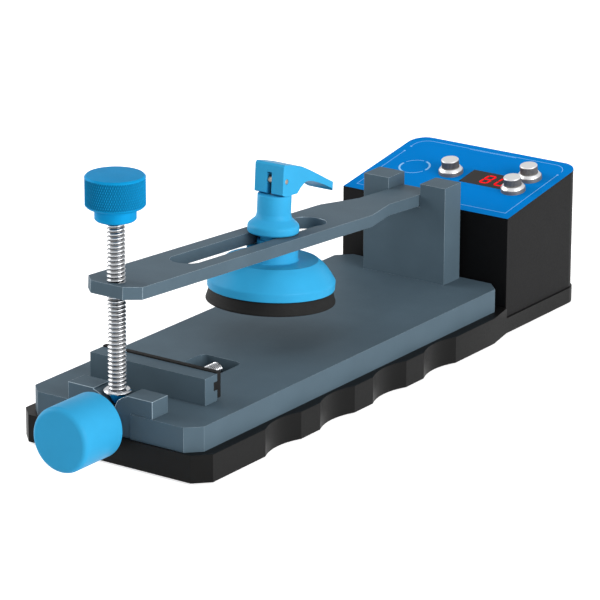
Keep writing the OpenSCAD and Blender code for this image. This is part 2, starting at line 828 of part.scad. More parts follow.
module case_shell() {
    color("#232325") difference() {
        union() {
            place() difference() {
                case_solid(0, panel_t);
                case_solid(case_wall, panel_t + case_wall);
            }
            place() for (spot = case_bolt_spots)
                translate([spot[0], spot[1], flange_h]) cylinder(r = boss_r, h = case_boss_h);
            on_panel() for (spot = control_bolt_spots)
                translate([spot[0], spot[1], -panel_t - case_wall - board_gap])
                    cylinder(r = board_boss_r, h = board_gap + case_wall / 2);
        }
        place() for (spot = case_bolt_spots)
            translate([spot[0], spot[1], flange_h - cut])
                cylinder(r = small_bolt[0] + fit_gap, h = case_grip + cut);
        on_panel() {
            for (spot = control_bolt_spots)
                translate([spot[0], spot[1], -panel_t - case_wall - board_gap - cut])
                    cylinder(r = board_bolt[0] + fit_gap, h = board_grip + cut);
            for (spot = button_spots)
                translate([spot[0], spot[1], -panel_t - case_wall - cut])
                    cylinder(r = cap_d / 2 + neck_wall + fit_gap * 2 + run_gap, h = case_wall + cut * 2);
            translate([window_x + module_inset, window_s + module_inset, -panel_t - case_wall - cut])
                cube([window_w - module_inset * 2, window_l - module_inset * 2, case_wall + cut * 2]);
            translate([window_x - fit_gap, window_s - fit_gap, -window_t - fit_gap])
                cube([window_w + fit_gap * 2, window_l + fit_gap * 2, window_t + cut]);
        }
        place() translate([-wire_w / 2, base_l - cut, flange_h - cut])
            cube([wire_w, case_wall + cut * 2, base_h - flange_h + cut]);
        at_inlet() translate([0, 0, -cut])
            linear_extrude(case_wall + cut * 2) inlet_outline(inlet_wall + fit_gap);
    }
}

module panel_sheet() {
    color("#0a86de") on_panel() difference() {
        translate([0, 0, -panel_t])
            linear_extrude(panel_t) rear_rounded(case_w, panel_l, case_corner_r);
        for (spot = button_spots)
            translate([spot[0], spot[1], -panel_t - cut])
                cylinder(r = cap_d / 2 + neck_wall + fit_gap * 2 + run_gap, h = panel_t + cut * 2);
        translate([window_x - fit_gap, window_s - fit_gap, -panel_t - cut])
            cube([window_w + fit_gap * 2, window_l + fit_gap * 2, panel_t + cut * 2]);
    }
}

// Lit segments of both digits, sunk below the panel's face, or their pockets when grown
module segments(grow, over) {
    long_w = digit_w - (segment_w + segment_gap) * 2;
    long_h = (digit_h - segment_w * 3) / 2 - segment_gap * 2;
    for (d = [0:len(lit_digits) - 1], i = [0:len(seven_segments) - 1])
        if (lit_digits[d][i] == 1) {
            bar = seven_segments[i];
            w = (bar[2] == 1 ? segment_w : long_w) + grow * 2;
            l = (bar[2] == 1 ? long_h : segment_w) + grow * 2;
            translate([
                window_x + digit_x + d * digit_pitch + bar[0] * (digit_w - segment_w) / 2,
                window_s + window_l / 2 + bar[1] * (digit_h - segment_w) / 2,
                -segment_t
            ])
                slab(w, l, segment_t + over);
        }
}

module display_window() {
    color("#2b2320") on_panel() difference() {
        translate([window_x, window_s, -window_t]) cube([window_w, window_l, window_t]);
        segments(fit_gap, cut);
    }
}

module display_digits() {
    color("red") on_panel() segments(0, 0);
}

module display_module() {
    inset = module_inset + fit_gap;
    top = window_t + fit_gap;
    color("#d9d9d9") on_panel()
        translate([window_x + inset, window_s + inset, -panel_t - case_wall - board_gap])
            cube([window_w - inset * 2, window_l - inset * 2, panel_t + case_wall + board_gap - top]);
}

module button_collars() {
    color("silver") on_panel() for (spot = button_spots)
        translate([spot[0], spot[1], 0]) difference() {
            union() {
                cylinder(d = button_collar_d, h = button_collar_h);
                translate([0, 0, -panel_t - case_wall])
                    cylinder(r = cap_d / 2 + run_gap + neck_wall, h = panel_t + case_wall);
            }
            translate([0, 0, -panel_t - case_wall - cut])
                cylinder(d = cap_d + run_gap * 2, h = button_collar_h + panel_t + case_wall + cut * 2);
        }
}

// One push-button cap with its retaining skirt and its stem in the switch
module button_cap(spot) {
    skirt_top = -panel_t - case_wall - move_gap;
    color("#cfd4d8") on_panel() translate([spot[0], spot[1], 0]) {
        translate([0, 0, skirt_top]) cylinder(d = cap_d, h = cap_h - cap_bevel - skirt_top);
        translate([0, 0, cap_h - cap_bevel])
            cylinder(d1 = cap_d, d2 = cap_d - cap_bevel * 2, h = cap_bevel);
        translate([0, 0, skirt_top - cap_skirt_t]) cylinder(r = cap_d / 2 + cap_skirt, h = cap_skirt_t);
        translate([0, 0, skirt_top - cap_skirt_t - cap_stem_l]) cylinder(d = cap_stem_d, h = cap_stem_l);
    }
}

module switch_bodies() {
    color("#1c1c1c") on_panel() for (spot = button_spots)
        translate([spot[0], spot[1], -panel_t - case_wall - board_gap]) difference() {
            slab(switch_w, switch_w, switch_h);
            translate([0, 0, fit_gap * 2]) cylinder(d = cap_stem_d + run_gap * 2, h = switch_h + cut);
        }
}

module control_board() {
    color("#1f6b3a") on_panel()
        translate([0, 0, -panel_t - case_wall - board_gap - board_t]) difference() {
            translate([-control_w / 2, board_s, 0]) cube([control_w, control_l, board_t]);
            for (spot = control_bolt_spots)
                translate([spot[0], spot[1], -cut])
                    cylinder(r = board_bolt[0] + fit_gap, h = board_t + cut * 2);
        }
}

module power_board() {
    mid_y = base_l + power_s + power_l / 2;
    coil_w = power_w * transformer_share;
    coil_x = (power_w - coil_w) / 2 - board_bolt_in * 2;
    color("#1f6b3a") place() translate([0, 0, flange_h + power_post_h]) {
        difference() {
            translate([0, mid_y, 0]) slab(power_w, power_l, board_t);
            for (spot = power_bolt_spots)
                translate([spot[0], spot[1], -cut])
                    cylinder(r = board_bolt[0] + fit_gap, h = board_t + cut * 2);
        }
        translate([-coil_x, mid_y, 0])
            slab(coil_w, power_l - board_bolt_in * 4, board_t + transformer_h);
        translate([power_w / 4 - capacitor_r, mid_y, 0])
            cylinder(r = capacitor_r, h = board_t + capacitor_h);
        translate([power_w / 4 + capacitor_r, mid_y, 0]) slab(relay_w, relay_w, board_t + relay_h);
    }
}

module board_screws() {
    color("silver") {
        on_panel() for (spot = control_bolt_spots)
            translate([spot[0], spot[1], -panel_t - case_wall - board_gap - board_t])
                bolt(board_bolt, board_t + board_grip - fit_gap);
        place() for (spot = power_bolt_spots)
            translate([spot[0], spot[1], flange_h + power_post_h + board_t])
                rotate([180, 0, 0]) bolt(board_bolt, board_t + board_grip - fit_gap);
    }
}

module case_screws() {
    color("#3b3b3d") place() for (spot = case_bolt_spots)
        translate([spot[0], spot[1], sunk(small_bolt)])
            bolt(small_bolt, flange_h - sunk(small_bolt) + case_grip - fit_gap);
}

module mains_inlet() {
    color("#1a1a1a") at_inlet() difference() {
        union() {
            translate([0, 0, -inlet_proud]) linear_extrude(inlet_proud) difference() {
                square([inlet_w, inlet_h], center = true);
                for (i = [-1, 1], j = [-1, 1])
                    translate([i * inlet_w / 2, j * inlet_h / 2])
                        rotate(45) square(inlet_corner, center = true);
            }
            linear_extrude(socket_d + inlet_wall) inlet_outline(inlet_wall);
        }
        translate([0, 0, -inlet_proud - cut]) linear_extrude(socket_d + inlet_proud + cut) inlet_outline(0);
        inlet_pin_cuts(fit_gap);
    }
}

// The three contacts, or their holes in the floor of the socket when grown
module inlet_pin_cuts(grow) {
    for (i = [-1, 0, 1])
        translate([i * inlet_pin_x, inlet_pin_up * (i == 0 ? 1 : -1), socket_d - inlet_pin_l])
            slab(inlet_pin_w + grow * 2, inlet_pin_h + grow * 2, inlet_pin_l + inlet_wall + grow * 2);
}

module inlet_pins() {
    color("silver") at_inlet() inlet_pin_cuts(0);
}

module arm_outline() {
    half = arm_w / 2;
    narrow = tongue_w / 2;
    end = arm_l + tongue_end;
    polygon([
        [-half + arm_chamfer, 0], [half - arm_chamfer, 0], [half, arm_chamfer], [half, arm_full],
        [narrow, arm_full + arm_taper], [narrow, end], [-narrow, end], [-narrow, arm_full + arm_taper],
        [-half, arm_full], [-half, arm_chamfer]
    ]);
}

module lift_arm() {
    color("#4d5f6b") difference() {
        on_arm() linear_extrude(arm_t) difference() {
            arm_outline();
            translate([0, arm_slot_front]) circle(d = arm_slot_w);
            translate([-arm_slot_w / 2, arm_slot_front])
                square([arm_slot_w, arm_slot_back - arm_slot_front]);
            translate([0, arm_slot_back]) circle(d = keyhole_d);
        }
        on_arm() translate([-arm_w / 2, arm_l, arm_t / 2])
            along_x() cylinder(d = pin_d + run_gap * 2, h = arm_w);
        place() translate([0, lift_y, plate_top])
            cylinder(d = lift_d + run_gap * 2, h = lift_rise + lift_foot_z);
    }
}

// Frame of the lift screw: where the screw stands on the flange of its swivel foot
module at_lift() {
    place() translate([0, lift_y, lift_z]) children();
}

module lift_foot() {
    cone_h = lift_nose_bevel * 2;
    color("#2e6d9c") at_lift() difference() {
        union() {
            translate([0, 0, -lift_flange_t]) cylinder(d = lift_flange_d, h = lift_flange_t);
            translate([0, 0, -lift_flange_t - lift_nose_l + cone_h])
                cylinder(d = lift_nose_d, h = lift_nose_l - cone_h);
            translate([0, 0, -lift_flange_t - lift_nose_l])
                cylinder(d1 = lift_nose_d - cone_h, d2 = lift_nose_d, h = cone_h);
        }
        translate([0, 0, -lift_pin_l - fit_gap]) cylinder(r = lift_pin_r + run_gap, h = lift_pin_l + cut);
    }
}

module lift_screw() {
    color("silver") at_lift() {
        translate([0, 0, run_gap])
            cylinder(d = lift_d, h = lift_rise - run_gap + lift_collar_h + lift_knob_h - lift_socket);
        translate([0, 0, -lift_pin_l]) cylinder(r = lift_pin_r, h = lift_pin_l + lift_collar_h);
    }
}

module lift_knob() {
    color("#2a95d8") at_lift() translate([0, 0, lift_rise]) difference() {
        union() {
            cylinder(d = lift_collar_d, h = lift_collar_h);
            translate([0, 0, lift_collar_h]) rotate_extrude() polygon([
                [0, 0], [lift_knob_d / 2 - lift_knob_bevel, 0], [lift_knob_d / 2, lift_knob_bevel],
                [lift_knob_d / 2, lift_knob_h - lift_knob_bevel],
                [lift_knob_d / 2 - lift_knob_bevel, lift_knob_h], [0, lift_knob_h]
            ]);
        }
        translate([0, 0, -cut])
            cylinder(d = lift_d + fit_gap * 2, h = lift_collar_h + lift_knob_h - lift_socket + fit_gap + cut);
        translate([0, 0, lift_collar_h / 2])
            along_y() cylinder(r = grub_bolt[0] + fit_gap, h = lift_collar_d);
    }
}

module knob_grub_screw() {
    color("#3b3b3d") at_lift()
        translate([0, lift_collar_d / 2 - grub_sink, lift_rise + lift_collar_h / 2])
            rotate([90, 0, 0]) grub_screw(lift_collar_d / 2 - grub_sink - lift_d / 2 - fit_gap);
}

// Frame of the clamp screw: on its axis at the block's front face, Z pointing back
module at_clamp() {
    place() translate([0, block_inset, clamp_z]) along_y() children();
}

module clamp_screw() {
    start = clamp_hub_l + run_gap + clamp_socket;
    groove = block_d + run_gap;
    color("silver") at_clamp() difference() {
        translate([0, 0, -start]) cylinder(d = clamp_d, h = start + block_d + clamp_reach);
        translate([0, 0, groove]) difference() {
            cylinder(d = clamp_d + cut, h = clip_t);
            translate([0, 0, -cut]) cylinder(d = clamp_d - clip_groove * 2, h = clip_t + cut * 2);
        }
    }
}

module clamp_knob() {
    r = clamp_knob_d / 2;
    back = -clamp_hub_l - run_gap;
    color("#2a95d8") at_clamp() difference() {
        union() {
            translate([0, 0, back - clamp_knob_l]) rotate_extrude() union() {
                translate([0, clamp_knob_r]) square([r, clamp_knob_l - clamp_knob_r - clamp_knob_back_r]);
                square([r - clamp_knob_r, clamp_knob_l]);
                translate([0, clamp_knob_l / 2]) square([r - clamp_knob_back_r, clamp_knob_l / 2]);
                translate([r - clamp_knob_r, clamp_knob_r]) circle(clamp_knob_r);
                translate([r - clamp_knob_back_r, clamp_knob_l - clamp_knob_back_r])
                    circle(clamp_knob_back_r);
            }
            translate([0, 0, back - cut]) cylinder(d = clamp_hub_d, h = clamp_hub_l + cut);
        }
        translate([0, 0, back - clamp_socket - fit_gap])
            cylinder(d = clamp_d + fit_gap * 2, h = clamp_socket + clamp_hub_l + cut + fit_gap);
        translate([0, 0, back - clamp_grub_set])
            rotate([-90, 0, 0]) cylinder(r = grub_bolt[0] + fit_gap, h = clamp_knob_d);
    }
}

module clamp_grub_screw() {
    color("#3b3b3d") at_clamp()
        translate([0, clamp_d / 2 + fit_gap + grub_l, -clamp_hub_l - run_gap - clamp_grub_set])
            rotate([90, 0, 0]) grub_screw(grub_l);
}

module clamp_clip() {
    bore_r = clamp_d / 2 - clip_groove + fit_gap;
    color("#3b3b3d") at_clamp() translate([0, 0, block_d + run_gap + fit_gap]) difference() {
        cylinder(r = clip_r, h = clip_t - fit_gap * 2);
        translate([0, 0, -cut]) cylinder(r = bore_r, h = clip_t + cut * 2);
        translate([-clip_mouth / 2, 0, -cut]) cube([clip_mouth, clip_r + cut, clip_t + cut * 2]);
    }
}

module clamp_jaw() {
    lug_w = guide_w - move_gap;
    rib_z = plate_t + pad_lift + pad_h / 2;
    color("#4d5f6b") place() translate([0, jaw_y, base_h]) difference() {
        union() {
            translate([-jaw_w / 2, 0, plate_t + move_gap / 2]) cube([jaw_w, jaw_t, jaw_h - move_gap / 2]);
            translate([-lug_w / 2, 0, lug_gap]) cube([lug_w, jaw_t, plate_t]);
        }
        translate([0, -cut, clamp_lift]) along_y() cylinder(d = nut_d + fit_gap * 2, h = jaw_t + cut * 2);
        translate([-jaw_w / 2 - cut, jaw_t - rib_d - fit_gap, rib_z - rib_h / 2 - fit_gap])
            cube([jaw_w + cut * 2, rib_d + fit_gap + cut, rib_h + fit_gap * 2]);
    }
}

module jaw_pad() {
    color("#1b1b1b") place() translate([-jaw_w / 2, jaw_y + jaw_t, plate_top + pad_lift]) {
        cube([jaw_w, pad_t, pad_h]);
        translate([0, -rib_d, (pad_h - rib_h) / 2]) cube([jaw_w, rib_d + pad_t / 2, rib_h]);
    }
}

module jaw_nut() {
    color("#c9a45c") place() translate([0, jaw_y, clamp_z]) along_y() difference() {
        cylinder(d = nut_d, h = jaw_t);
        translate([0, 0, -cut]) cylinder(d = clamp_d + run_gap * 2, h = jaw_t + cut * 2);
    }
}

module slide_bush() {
    color("#2a95d8") on_cup() difference() {
        union() {
            translate([0, 0, fit_gap]) cylinder(d = bush_d, h = bush_ring_h);
            translate([0, 0, fit_gap]) cylinder(d = bush_neck_d, h = arm_t - fit_gap);
        }
        translate([0, 0, -cut]) cylinder(d = stem_d + run_gap * 2, h = arm_t + cut * 2);
    }
}

// Points down the dome's flank from its shelf to its widest ring, a little fuller than a cone
function flank(shrink) = [
    for (i = [0:dome_steps])
        let (down = i / dome_steps)
            [
                dome_shelf_r + (dome_d / 2 - dome_shelf_r - shrink) * down,
                (dome_flank - shrink) * (1 - down) + dome_bulge * sin(180 * down)
            ]
];

module cup_dome() {
    rim_z = -move_gap - dome_drop;
    wide_z = rim_z + dome_band;
    rim_r = dome_d / 2 - dome_draw;
    inner = flank(dome_wall);
    roof_r = boss_d / 2 - dome_wall;
    color("#45b5ee") on_cup() difference() {
        union() {
            translate([0, 0, wide_z]) rotate_extrude() polygon(concat(
                [[0, dome_flank]], flank(0), [[rim_r, -dome_band], [0, -dome_band]]
            ));
            translate([0, 0, wide_z]) cylinder(d = boss_d, h = -move_gap - wide_z);
            translate([0, 0, wide_z]) cylinder(d = stem_d, h = arm_t + stem_rise - wide_z);
        }
        translate([0, 0, wide_z]) rotate_extrude() polygon(concat(
            [[0, dome_flank - dome_roof], [roof_r, dome_flank - dome_roof]], inner,
            [[rim_r - dome_wall, -dome_band - cut], [0, -dome_band - cut]]
        ));
        translate([0, 0, rim_z]) cylinder(d = rod_d + run_gap * 2, h = dome_drop + arm_t + stem_rise + cut);
    }
}

module cup_sleeve() {
    base = arm_t + move_gap;
    flare = base + collar_h;
    neck = flare + flare_h;
    top = neck + neck_h;
    color("#2a95d8") on_cup() difference() {
        rotate_extrude() polygon([
            [0, base], [collar_d / 2, base], [collar_d / 2, flare],
            [(collar_d + neck_d) / 4 + flare_bulge, neck - flare_h / 2],
            [neck_d / 2, neck], [neck_d / 2, top], [0, top]
        ]);
        translate([0, 0, base - cut])
            cylinder(d = stem_d + fit_gap * 2, h = stem_rise + fit_gap - move_gap + cut);
        translate([0, 0, base]) cylinder(d = rod_d + run_gap * 2, h = top - base + cut);
    }
}

// Height of the lever's pin above the arm's underside
function pin_rise() = arm_t + move_gap + collar_h + flare_h + neck_h + move_gap / 2 + cam_r;

// Frame of the lever: on its pin, Y along the handle
module at_lever() {
    on_cup() translate([0, -lever_pin_front, pin_rise()]) children();
}

module cup_plunger() {
    plate_z = -move_gap - dome_drop - move_gap;
    rod_top = pin_rise() - cam_r - move_gap;
    color("silver") difference() {
        union() {
            on_cup() {
                translate([0, 0, plate_z]) cylinder(d = plunger_plate_d, h = plunger_plate_t);
                translate([0, 0, plate_z]) cylinder(d = rod_d, h = rod_top - plate_z);
                intersection() {
                    translate([0, 0, rod_top - cut]) slab(tongue_t, rod_d, pin_rise() - rod_top + cut);
                    cylinder(d = rod_d, h = pin_rise() + cut);
                }
            }
            at_lever() translate([-tongue_t / 2, 0, 0]) along_x() cylinder(r = eye_r, h = tongue_t);
        }
        at_lever() translate([-tongue_t / 2 - cut, 0, 0])
            along_x() cylinder(d = lever_pin_d + fit_gap * 2, h = tongue_t + cut * 2);
    }
}

module cup_rubber() {
    top = -move_gap - dome_drop - move_gap;
    low = top - rubber_h;
    color("#151515") on_cup() rotate_extrude() polygon([
        [0, top], [rubber_top_d / 2, top], [rubber_d / 2, low + lip_h], [rubber_d / 2, low],
        [rubber_d / 2 - lip_w, low], [plunger_plate_d / 2, low + rubber_hollow], [0, low + rubber_hollow]
    ]);
}

module lever_pin() {
    color("silver") at_lever()
        translate([-lever_w / 2, 0, 0]) along_x() cylinder(d = lever_pin_d, h = lever_w);
}

// Underside of the cam in front of the pin: the curve that stays on the sleeve as the lever turns
function cam_point(turn) =
    let (p = cam_r - cam_slope * turn * PI / 180)
        [-p * sin(turn) + cam_slope * cos(turn), -p * cos(turn) - cam_slope * sin(turn)];

// Points of an outline of the lever, from shares of its length and height
function lever_points(shares) =
    [for (s = shares) [s[0] * lever_l - lever_pin_set, s[1] * lever_h + lever_crown - lever_h]];

// The lever seen from above: square at the fork, rounded at the tip
module lever_plan() {
    tip_y = lever_l - lever_pin_set - lever_tip_r;
    hull() {
        translate([-lever_w / 2, -lever_pin_set - cut]) square([lever_w, lever_tip_r]);
        for (side = [-1, 1])
            translate([side * (lever_w / 2 - lever_tip_r), tip_y]) circle(lever_tip_r);
    }
}

module cam_lever() {
    front = -lever_pin_set;
    slot_back = lever_pin_front + rod_d / 2 + move_gap;
    color("#3aa5d8") at_lever() difference() {
        intersection() {
            translate([-lever_w / 2 - cut, 0, 0]) rotate([90, 0, 90])
                linear_extrude(lever_w + cut * 2) polygon(concat(
                    [[front, cam_point(cam_turn)[1]], [front, lever_crown - lever_bevel]],
                    [[front + lever_bevel, lever_crown]],
                    lever_points(lever_top_shares), lever_points(lever_side_shares),
                    [[fork_share * lever_l - lever_pin_set, -cam_r]],
                    [for (turn = [0:cam_turn / cam_steps:cam_turn]) cam_point(turn)]
                ));
            translate([0, 0, lever_crown - lever_h - cut]) linear_extrude(lever_h + cut * 2) lever_plan();
        }
        translate([-lever_w / 2 - cut, 0, 0])
            along_x() cylinder(d = lever_pin_d + run_gap * 2, h = lever_w + cut * 2);
        translate([-lever_slot_w / 2, 0, 0]) along_x() cylinder(r = eye_r + move_gap, h = lever_slot_w);
        translate([-lever_slot_w / 2, front - cut, -cam_r - cut])
            cube([lever_slot_w, slot_back - front + cut, cam_r + cut + move_gap]);
        translate([-lever_slot_w / 2, front - cut, -cut])
            cube([lever_slot_w, cut - front, lever_slot_rise + cut]);
    }
}

module left_button() {
    button_cap(button_spots[0]);
}

module front_button() {
    button_cap(button_spots[1]);
}

module back_button() {
    button_cap(button_spots[2]);
}

base_tray();
rubber_feet();
heating_plate();
heater_pad();
insulation_sheet();
temp_sensor();
front_block();
yoke();
pivot_pin();
plate_screws();
yoke_screws();
block_screws();
case_shell();
panel_sheet();
display_window();
display_digits();
display_module();
button_collars();
switch_bodies();
control_board();
power_board();
board_screws();
case_screws();
mains_inlet();
inlet_pins();
lift_arm();
lift_foot();
lift_screw();
lift_knob();
knob_grub_screw();
clamp_screw();
clamp_knob();
clamp_grub_screw();
clamp_clip();
clamp_jaw();
jaw_pad();
jaw_nut();
slide_bush();
cup_dome();
cup_sleeve();
cup_plunger();
cup_rubber();
lever_pin();
cam_lever();
left_button();
front_button();
back_button();
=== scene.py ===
"""Looks of the screen separator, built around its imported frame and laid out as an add-on."""
import json
import math

import bmesh
import bpy
from bpy.props import FloatProperty, FloatVectorProperty, IntProperty, PointerProperty
from mathutils import Matrix, Vector

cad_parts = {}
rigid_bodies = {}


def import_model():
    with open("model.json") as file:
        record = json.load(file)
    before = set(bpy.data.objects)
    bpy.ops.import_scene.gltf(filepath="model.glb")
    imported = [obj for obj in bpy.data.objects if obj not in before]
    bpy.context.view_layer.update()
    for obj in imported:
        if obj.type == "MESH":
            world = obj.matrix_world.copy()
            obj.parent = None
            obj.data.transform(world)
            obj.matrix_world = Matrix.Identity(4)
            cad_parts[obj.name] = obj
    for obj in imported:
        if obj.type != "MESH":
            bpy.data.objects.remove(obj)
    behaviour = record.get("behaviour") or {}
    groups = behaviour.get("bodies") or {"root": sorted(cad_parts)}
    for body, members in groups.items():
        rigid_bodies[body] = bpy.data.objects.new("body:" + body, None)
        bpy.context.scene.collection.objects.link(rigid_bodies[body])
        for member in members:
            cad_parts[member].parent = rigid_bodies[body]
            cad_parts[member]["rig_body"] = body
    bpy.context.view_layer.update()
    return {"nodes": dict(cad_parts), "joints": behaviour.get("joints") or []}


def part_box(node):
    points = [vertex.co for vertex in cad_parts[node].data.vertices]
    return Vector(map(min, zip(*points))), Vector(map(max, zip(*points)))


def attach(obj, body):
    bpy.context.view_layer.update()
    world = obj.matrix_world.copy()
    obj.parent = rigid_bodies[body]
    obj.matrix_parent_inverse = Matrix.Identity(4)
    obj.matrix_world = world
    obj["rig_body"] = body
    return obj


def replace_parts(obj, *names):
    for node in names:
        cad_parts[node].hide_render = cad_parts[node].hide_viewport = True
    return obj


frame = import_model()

bl_info = {
    "name": "Screen separator looks",
    "version": (1, 0, 0),
    "blender": (4, 5, 0),
    "location": "3D View > Sidebar > Separator",
    "description": "Dresses the packed screen separator with detailed pieces and finishes",
    "category": "Object",
}

MM = 0.001
TURN = 2 * math.pi
PIN_EDGE = 0.2 * MM
# Share of an edge break that a small piece or thin sheet gets
SMALL_SHARE = 0.8
# The room's light, the white of the floor's paper, and what the paper adds where it is seen
ROOM_LIGHT, PAPER_WHITE, PAPER_GLOW = 0.40, 0.82, 0.7


# ---- Sizes and colours that a user would change ----

def linear(code):
    """Linear colour of an sRGB hex value."""
    parts = [int(code[i:i + 2], 16) / 255 for i in (1, 3, 5)]
    return [c / 12.92 if c <= 0.04045 else ((c + 0.055) / 1.055) ** 2.4 for c in parts]


def length(name, about, default_mm):
    return FloatProperty(
        name=name, description=about, default=default_mm * MM, unit="LENGTH", precision=5
    )


def whole(name, about, default):
    return IntProperty(name=name, description=about, default=default, min=12)


def colour(name, about, code):
    return FloatVectorProperty(name=name, description=about, default=linear(code), subtype="COLOR")


class SeparatorSizes(bpy.types.PropertyGroup):
    edge: length("Edge break", "Width of the chamfer on the machined aluminium", 0.32)
    cast_edge: length("Body edge", "Radius of the edges of the black tray and case", 0.45)
    thread_pitch: length("Lift thread", "Pitch of the thread on the lift screw", 1.62)
    thread_depth: length("Thread depth", "Depth of the thread on the lift screw", 0.55)
    clamp_pitch: length("Clamp thread", "Pitch of the thread on the clamp screw", 1.0)
    knurl_depth: length("Knurl depth", "Depth of the diamond knurl on the lift knob", 0.34)
    knurl_tall: length("Knurl height", "Height of one diamond of the knurl", 2.0)
    knurl_count: whole("Knurl count", "Diamonds round the lift knob", 76)
    rib_count: whole("Button ribs", "Ribs round a button cap", 40)
    rib_depth: length("Rib depth", "Depth of the ribs round a button cap", 0.12)
    print_width: length("Printed line", "Width of the line printed round the panel", 0.2)
    floor: length("Floor", "Side of the floor of the stage", 6000)


class SeparatorColours(bpy.types.PropertyGroup):
    slate: colour("Slate", "Dye of the anodised plate, arm, yoke, block and jaw", "#4b5c67")
    # The chamfers' paler colour is partly a painted highlight along the edges.
    slate_rim_highlight: colour("Slate rim", "Chamfers of the anodised pieces", "#9aabb6")
    body: colour("Body", "Coat of the tray", "#0b0b0b")
    case: colour("Case", "Coat of the controller's case", "#0b0b0c")
    knob: colour("Knobs", "Dye of the lift knob and of the foot of its screw", "#0a86bd")
    cup: colour("Cup", "Plastic of the cup, its lever and the clamp knob", "#3096c5")
    panel: colour("Panel", "Face of the controller", "#007bcc")
    printed: colour("Print", "Lines and dots printed on the panel", "#7fbdec")
    window: colour("Window", "Smoked window of the display", "#120c0a")
    digits: colour("Digits", "Lit segments of the display", "#d4000c")


# ---- Nodes, materials and meshes ----

def add(tree, kind, inputs=None, **settings):
    """Adds a node, sets its properties, and gives its sockets a value or the output they link from."""
    made = tree.nodes.new(kind)
    for key, value in settings.items():
        setattr(made, key, value)
    for key, value in (inputs or {}).items():
        if isinstance(value, bpy.types.NodeSocket):
            tree.links.new(value, made.inputs[key])
        else:
            made.inputs[key].default_value = value
    return made


def calc(tree, operation, a, b):
    """One step of arithmetic on fields or on shader values."""
    return add(tree, "ShaderNodeMath", {0: a, 1: b}, operation=operation).outputs["Value"]


def shader(name, colour_value, **fixed):
    """A new material with its principled shader, which holds the values that are the same all over."""
    made = bpy.data.materials.new(name)
    made.use_nodes = True
    tree = made.node_tree
    body = tree.nodes["Principled BSDF"]
    body.inputs["Base Color"].default_value = (*colour_value, 1)
    for key, value in fixed.items():
        body.inputs[key.replace("_", " ").title().replace("Ior", "IOR")].default_value = value
    made.diffuse_color = (*colour_value, 1)
    place = add(tree, "ShaderNodeTexCoord").outputs["Object"]
    return made, tree, body, place


def grain(tree, place, size, detail=3.0, stretch=(1, 1, 1)):
    """Noise whose features are about size millimetres across, longer along a stretched axis."""
    fitted = add(tree, "ShaderNodeMapping", {"Vector": place, "Scale": stretch})
    return add(tree, "ShaderNodeTexNoise", {
        "Vector": fitted.outputs["Vector"], "Scale": 1 / (size * MM), "Detail": detail, "Roughness": 0.55
    }).outputs["Fac"]


def vary(tree, body, fac, low, high):
    """Lets a pattern move the shader's roughness between two values."""
    out = add(tree, "ShaderNodeMapRange", {
        "Value": fac, "From Min": 0.25, "From Max": 0.75, "To Min": low, "To Max": high
    }).outputs["Result"]
    tree.links.new(out, body.inputs["Roughness"])


def blend(tree, body, share, first, second):
    """Links a blend of two colours to the shader."""
    mixed = add(tree, "ShaderNodeMix", {
        "Factor": share.outputs["Result"], "A": first, "B": second
    }, data_type="RGBA")
    tree.links.new(mixed.outputs["Result"], body.inputs["Base Color"])
    return mixed


def tint(tree, body, fac, amount):
    """Lets a pattern darken and lighten the shader's colour by a share of it."""
    base = body.inputs["Base Color"].default_value[:3]
    dark = [c * (1 - amount) for c in base]
    light = [min(1, c * (1 + amount)) for c in base]
    spread = add(tree, "ShaderNodeMapRange", {"Value": fac, "From Min": 0.3, "From Max": 0.7})
    return blend(tree, body, spread, (*dark, 1), (*light, 1))


def relief(tree, body, fac, depth):
    """Turns a pattern into a bump of a real depth in millimetres."""
    bump = add(tree, "ShaderNodeBump", {"Height": fac, "Distance": depth * MM})
    tree.links.new(bump.outputs["Normal"], body.inputs["Normal"])


def paint_groove_shade(tree, body, darkest_painted_shade):
    """Paints shade into the grooves: darkens the colour where the groove tree cut into the piece."""
    cut = add(tree, "ShaderNodeAttribute", attribute_name="groove").outputs["Fac"]
    amount = add(tree, "ShaderNodeMapRange", {"Value": cut, "To Max": darkest_painted_shade})
    blend(tree, body, amount, body.inputs["Base Color"].links[0].from_socket, (0, 0, 0, 1))


def colours():
    return bpy.context.scene.separator_colours


def sizes():
    return bpy.context.scene.separator_sizes


def coat(name, base, metallic, gloss, cloud, amount, skin, rough, depth, stretch=(1, 1, 1), grooves=0):
    """Material whose colour drifts by amount in clouds, and whose skin moves the roughness between
    two values and stands depth high. Clouds, skin and depth are in millimetres."""
    made, tree, body, place = shader(name, base, metallic=metallic, specular_ior_level=gloss)
    tint(tree, body, grain(tree, place, cloud), amount)
    surface = grain(tree, place, skin, 2, stretch)
    vary(tree, body, surface, *rough)
    relief(tree, body, surface, depth)
    # Painted shade: darkens the colour in the grooves that the groove tree cut.
    if grooves:
        paint_groove_shade(tree, body, grooves)
    return made


def anodised_rim_highlight():
    # The same aluminium where a cutter broke the edges after blasting: smoother, and paler as a painted
    # highlight along the edges.
    made, tree, body, place = shader("anodised_aluminium_cut_edge_highlight", colours().slate_rim_highlight, metallic=0.8)
    vary(tree, body, grain(tree, place, 0.8, 2, (1, 0.1, 1)), 0.26, 0.36)
    return made


def print_ink():
    # Pale screen-printed ink: thin, matt, and slightly patchy where the film takes less ink.
    made, tree, body, place = shader("screen_print_pale", colours().printed, roughness=0.55)
    tint(tree, body, grain(tree, place, 0.5), 0.08)
    return made


def smoked_window():
    # Smoked acrylic: near black with a brown cast, polished, with a few wipe marks in its gloss.
    made, tree, body, place = shader("smoked_acrylic", colours().window, specular_ior_level=0.07)
    vary(tree, body, grain(tree, place, 6, 3, (1, 0.3, 1)), 0.06, 0.14)
    return made


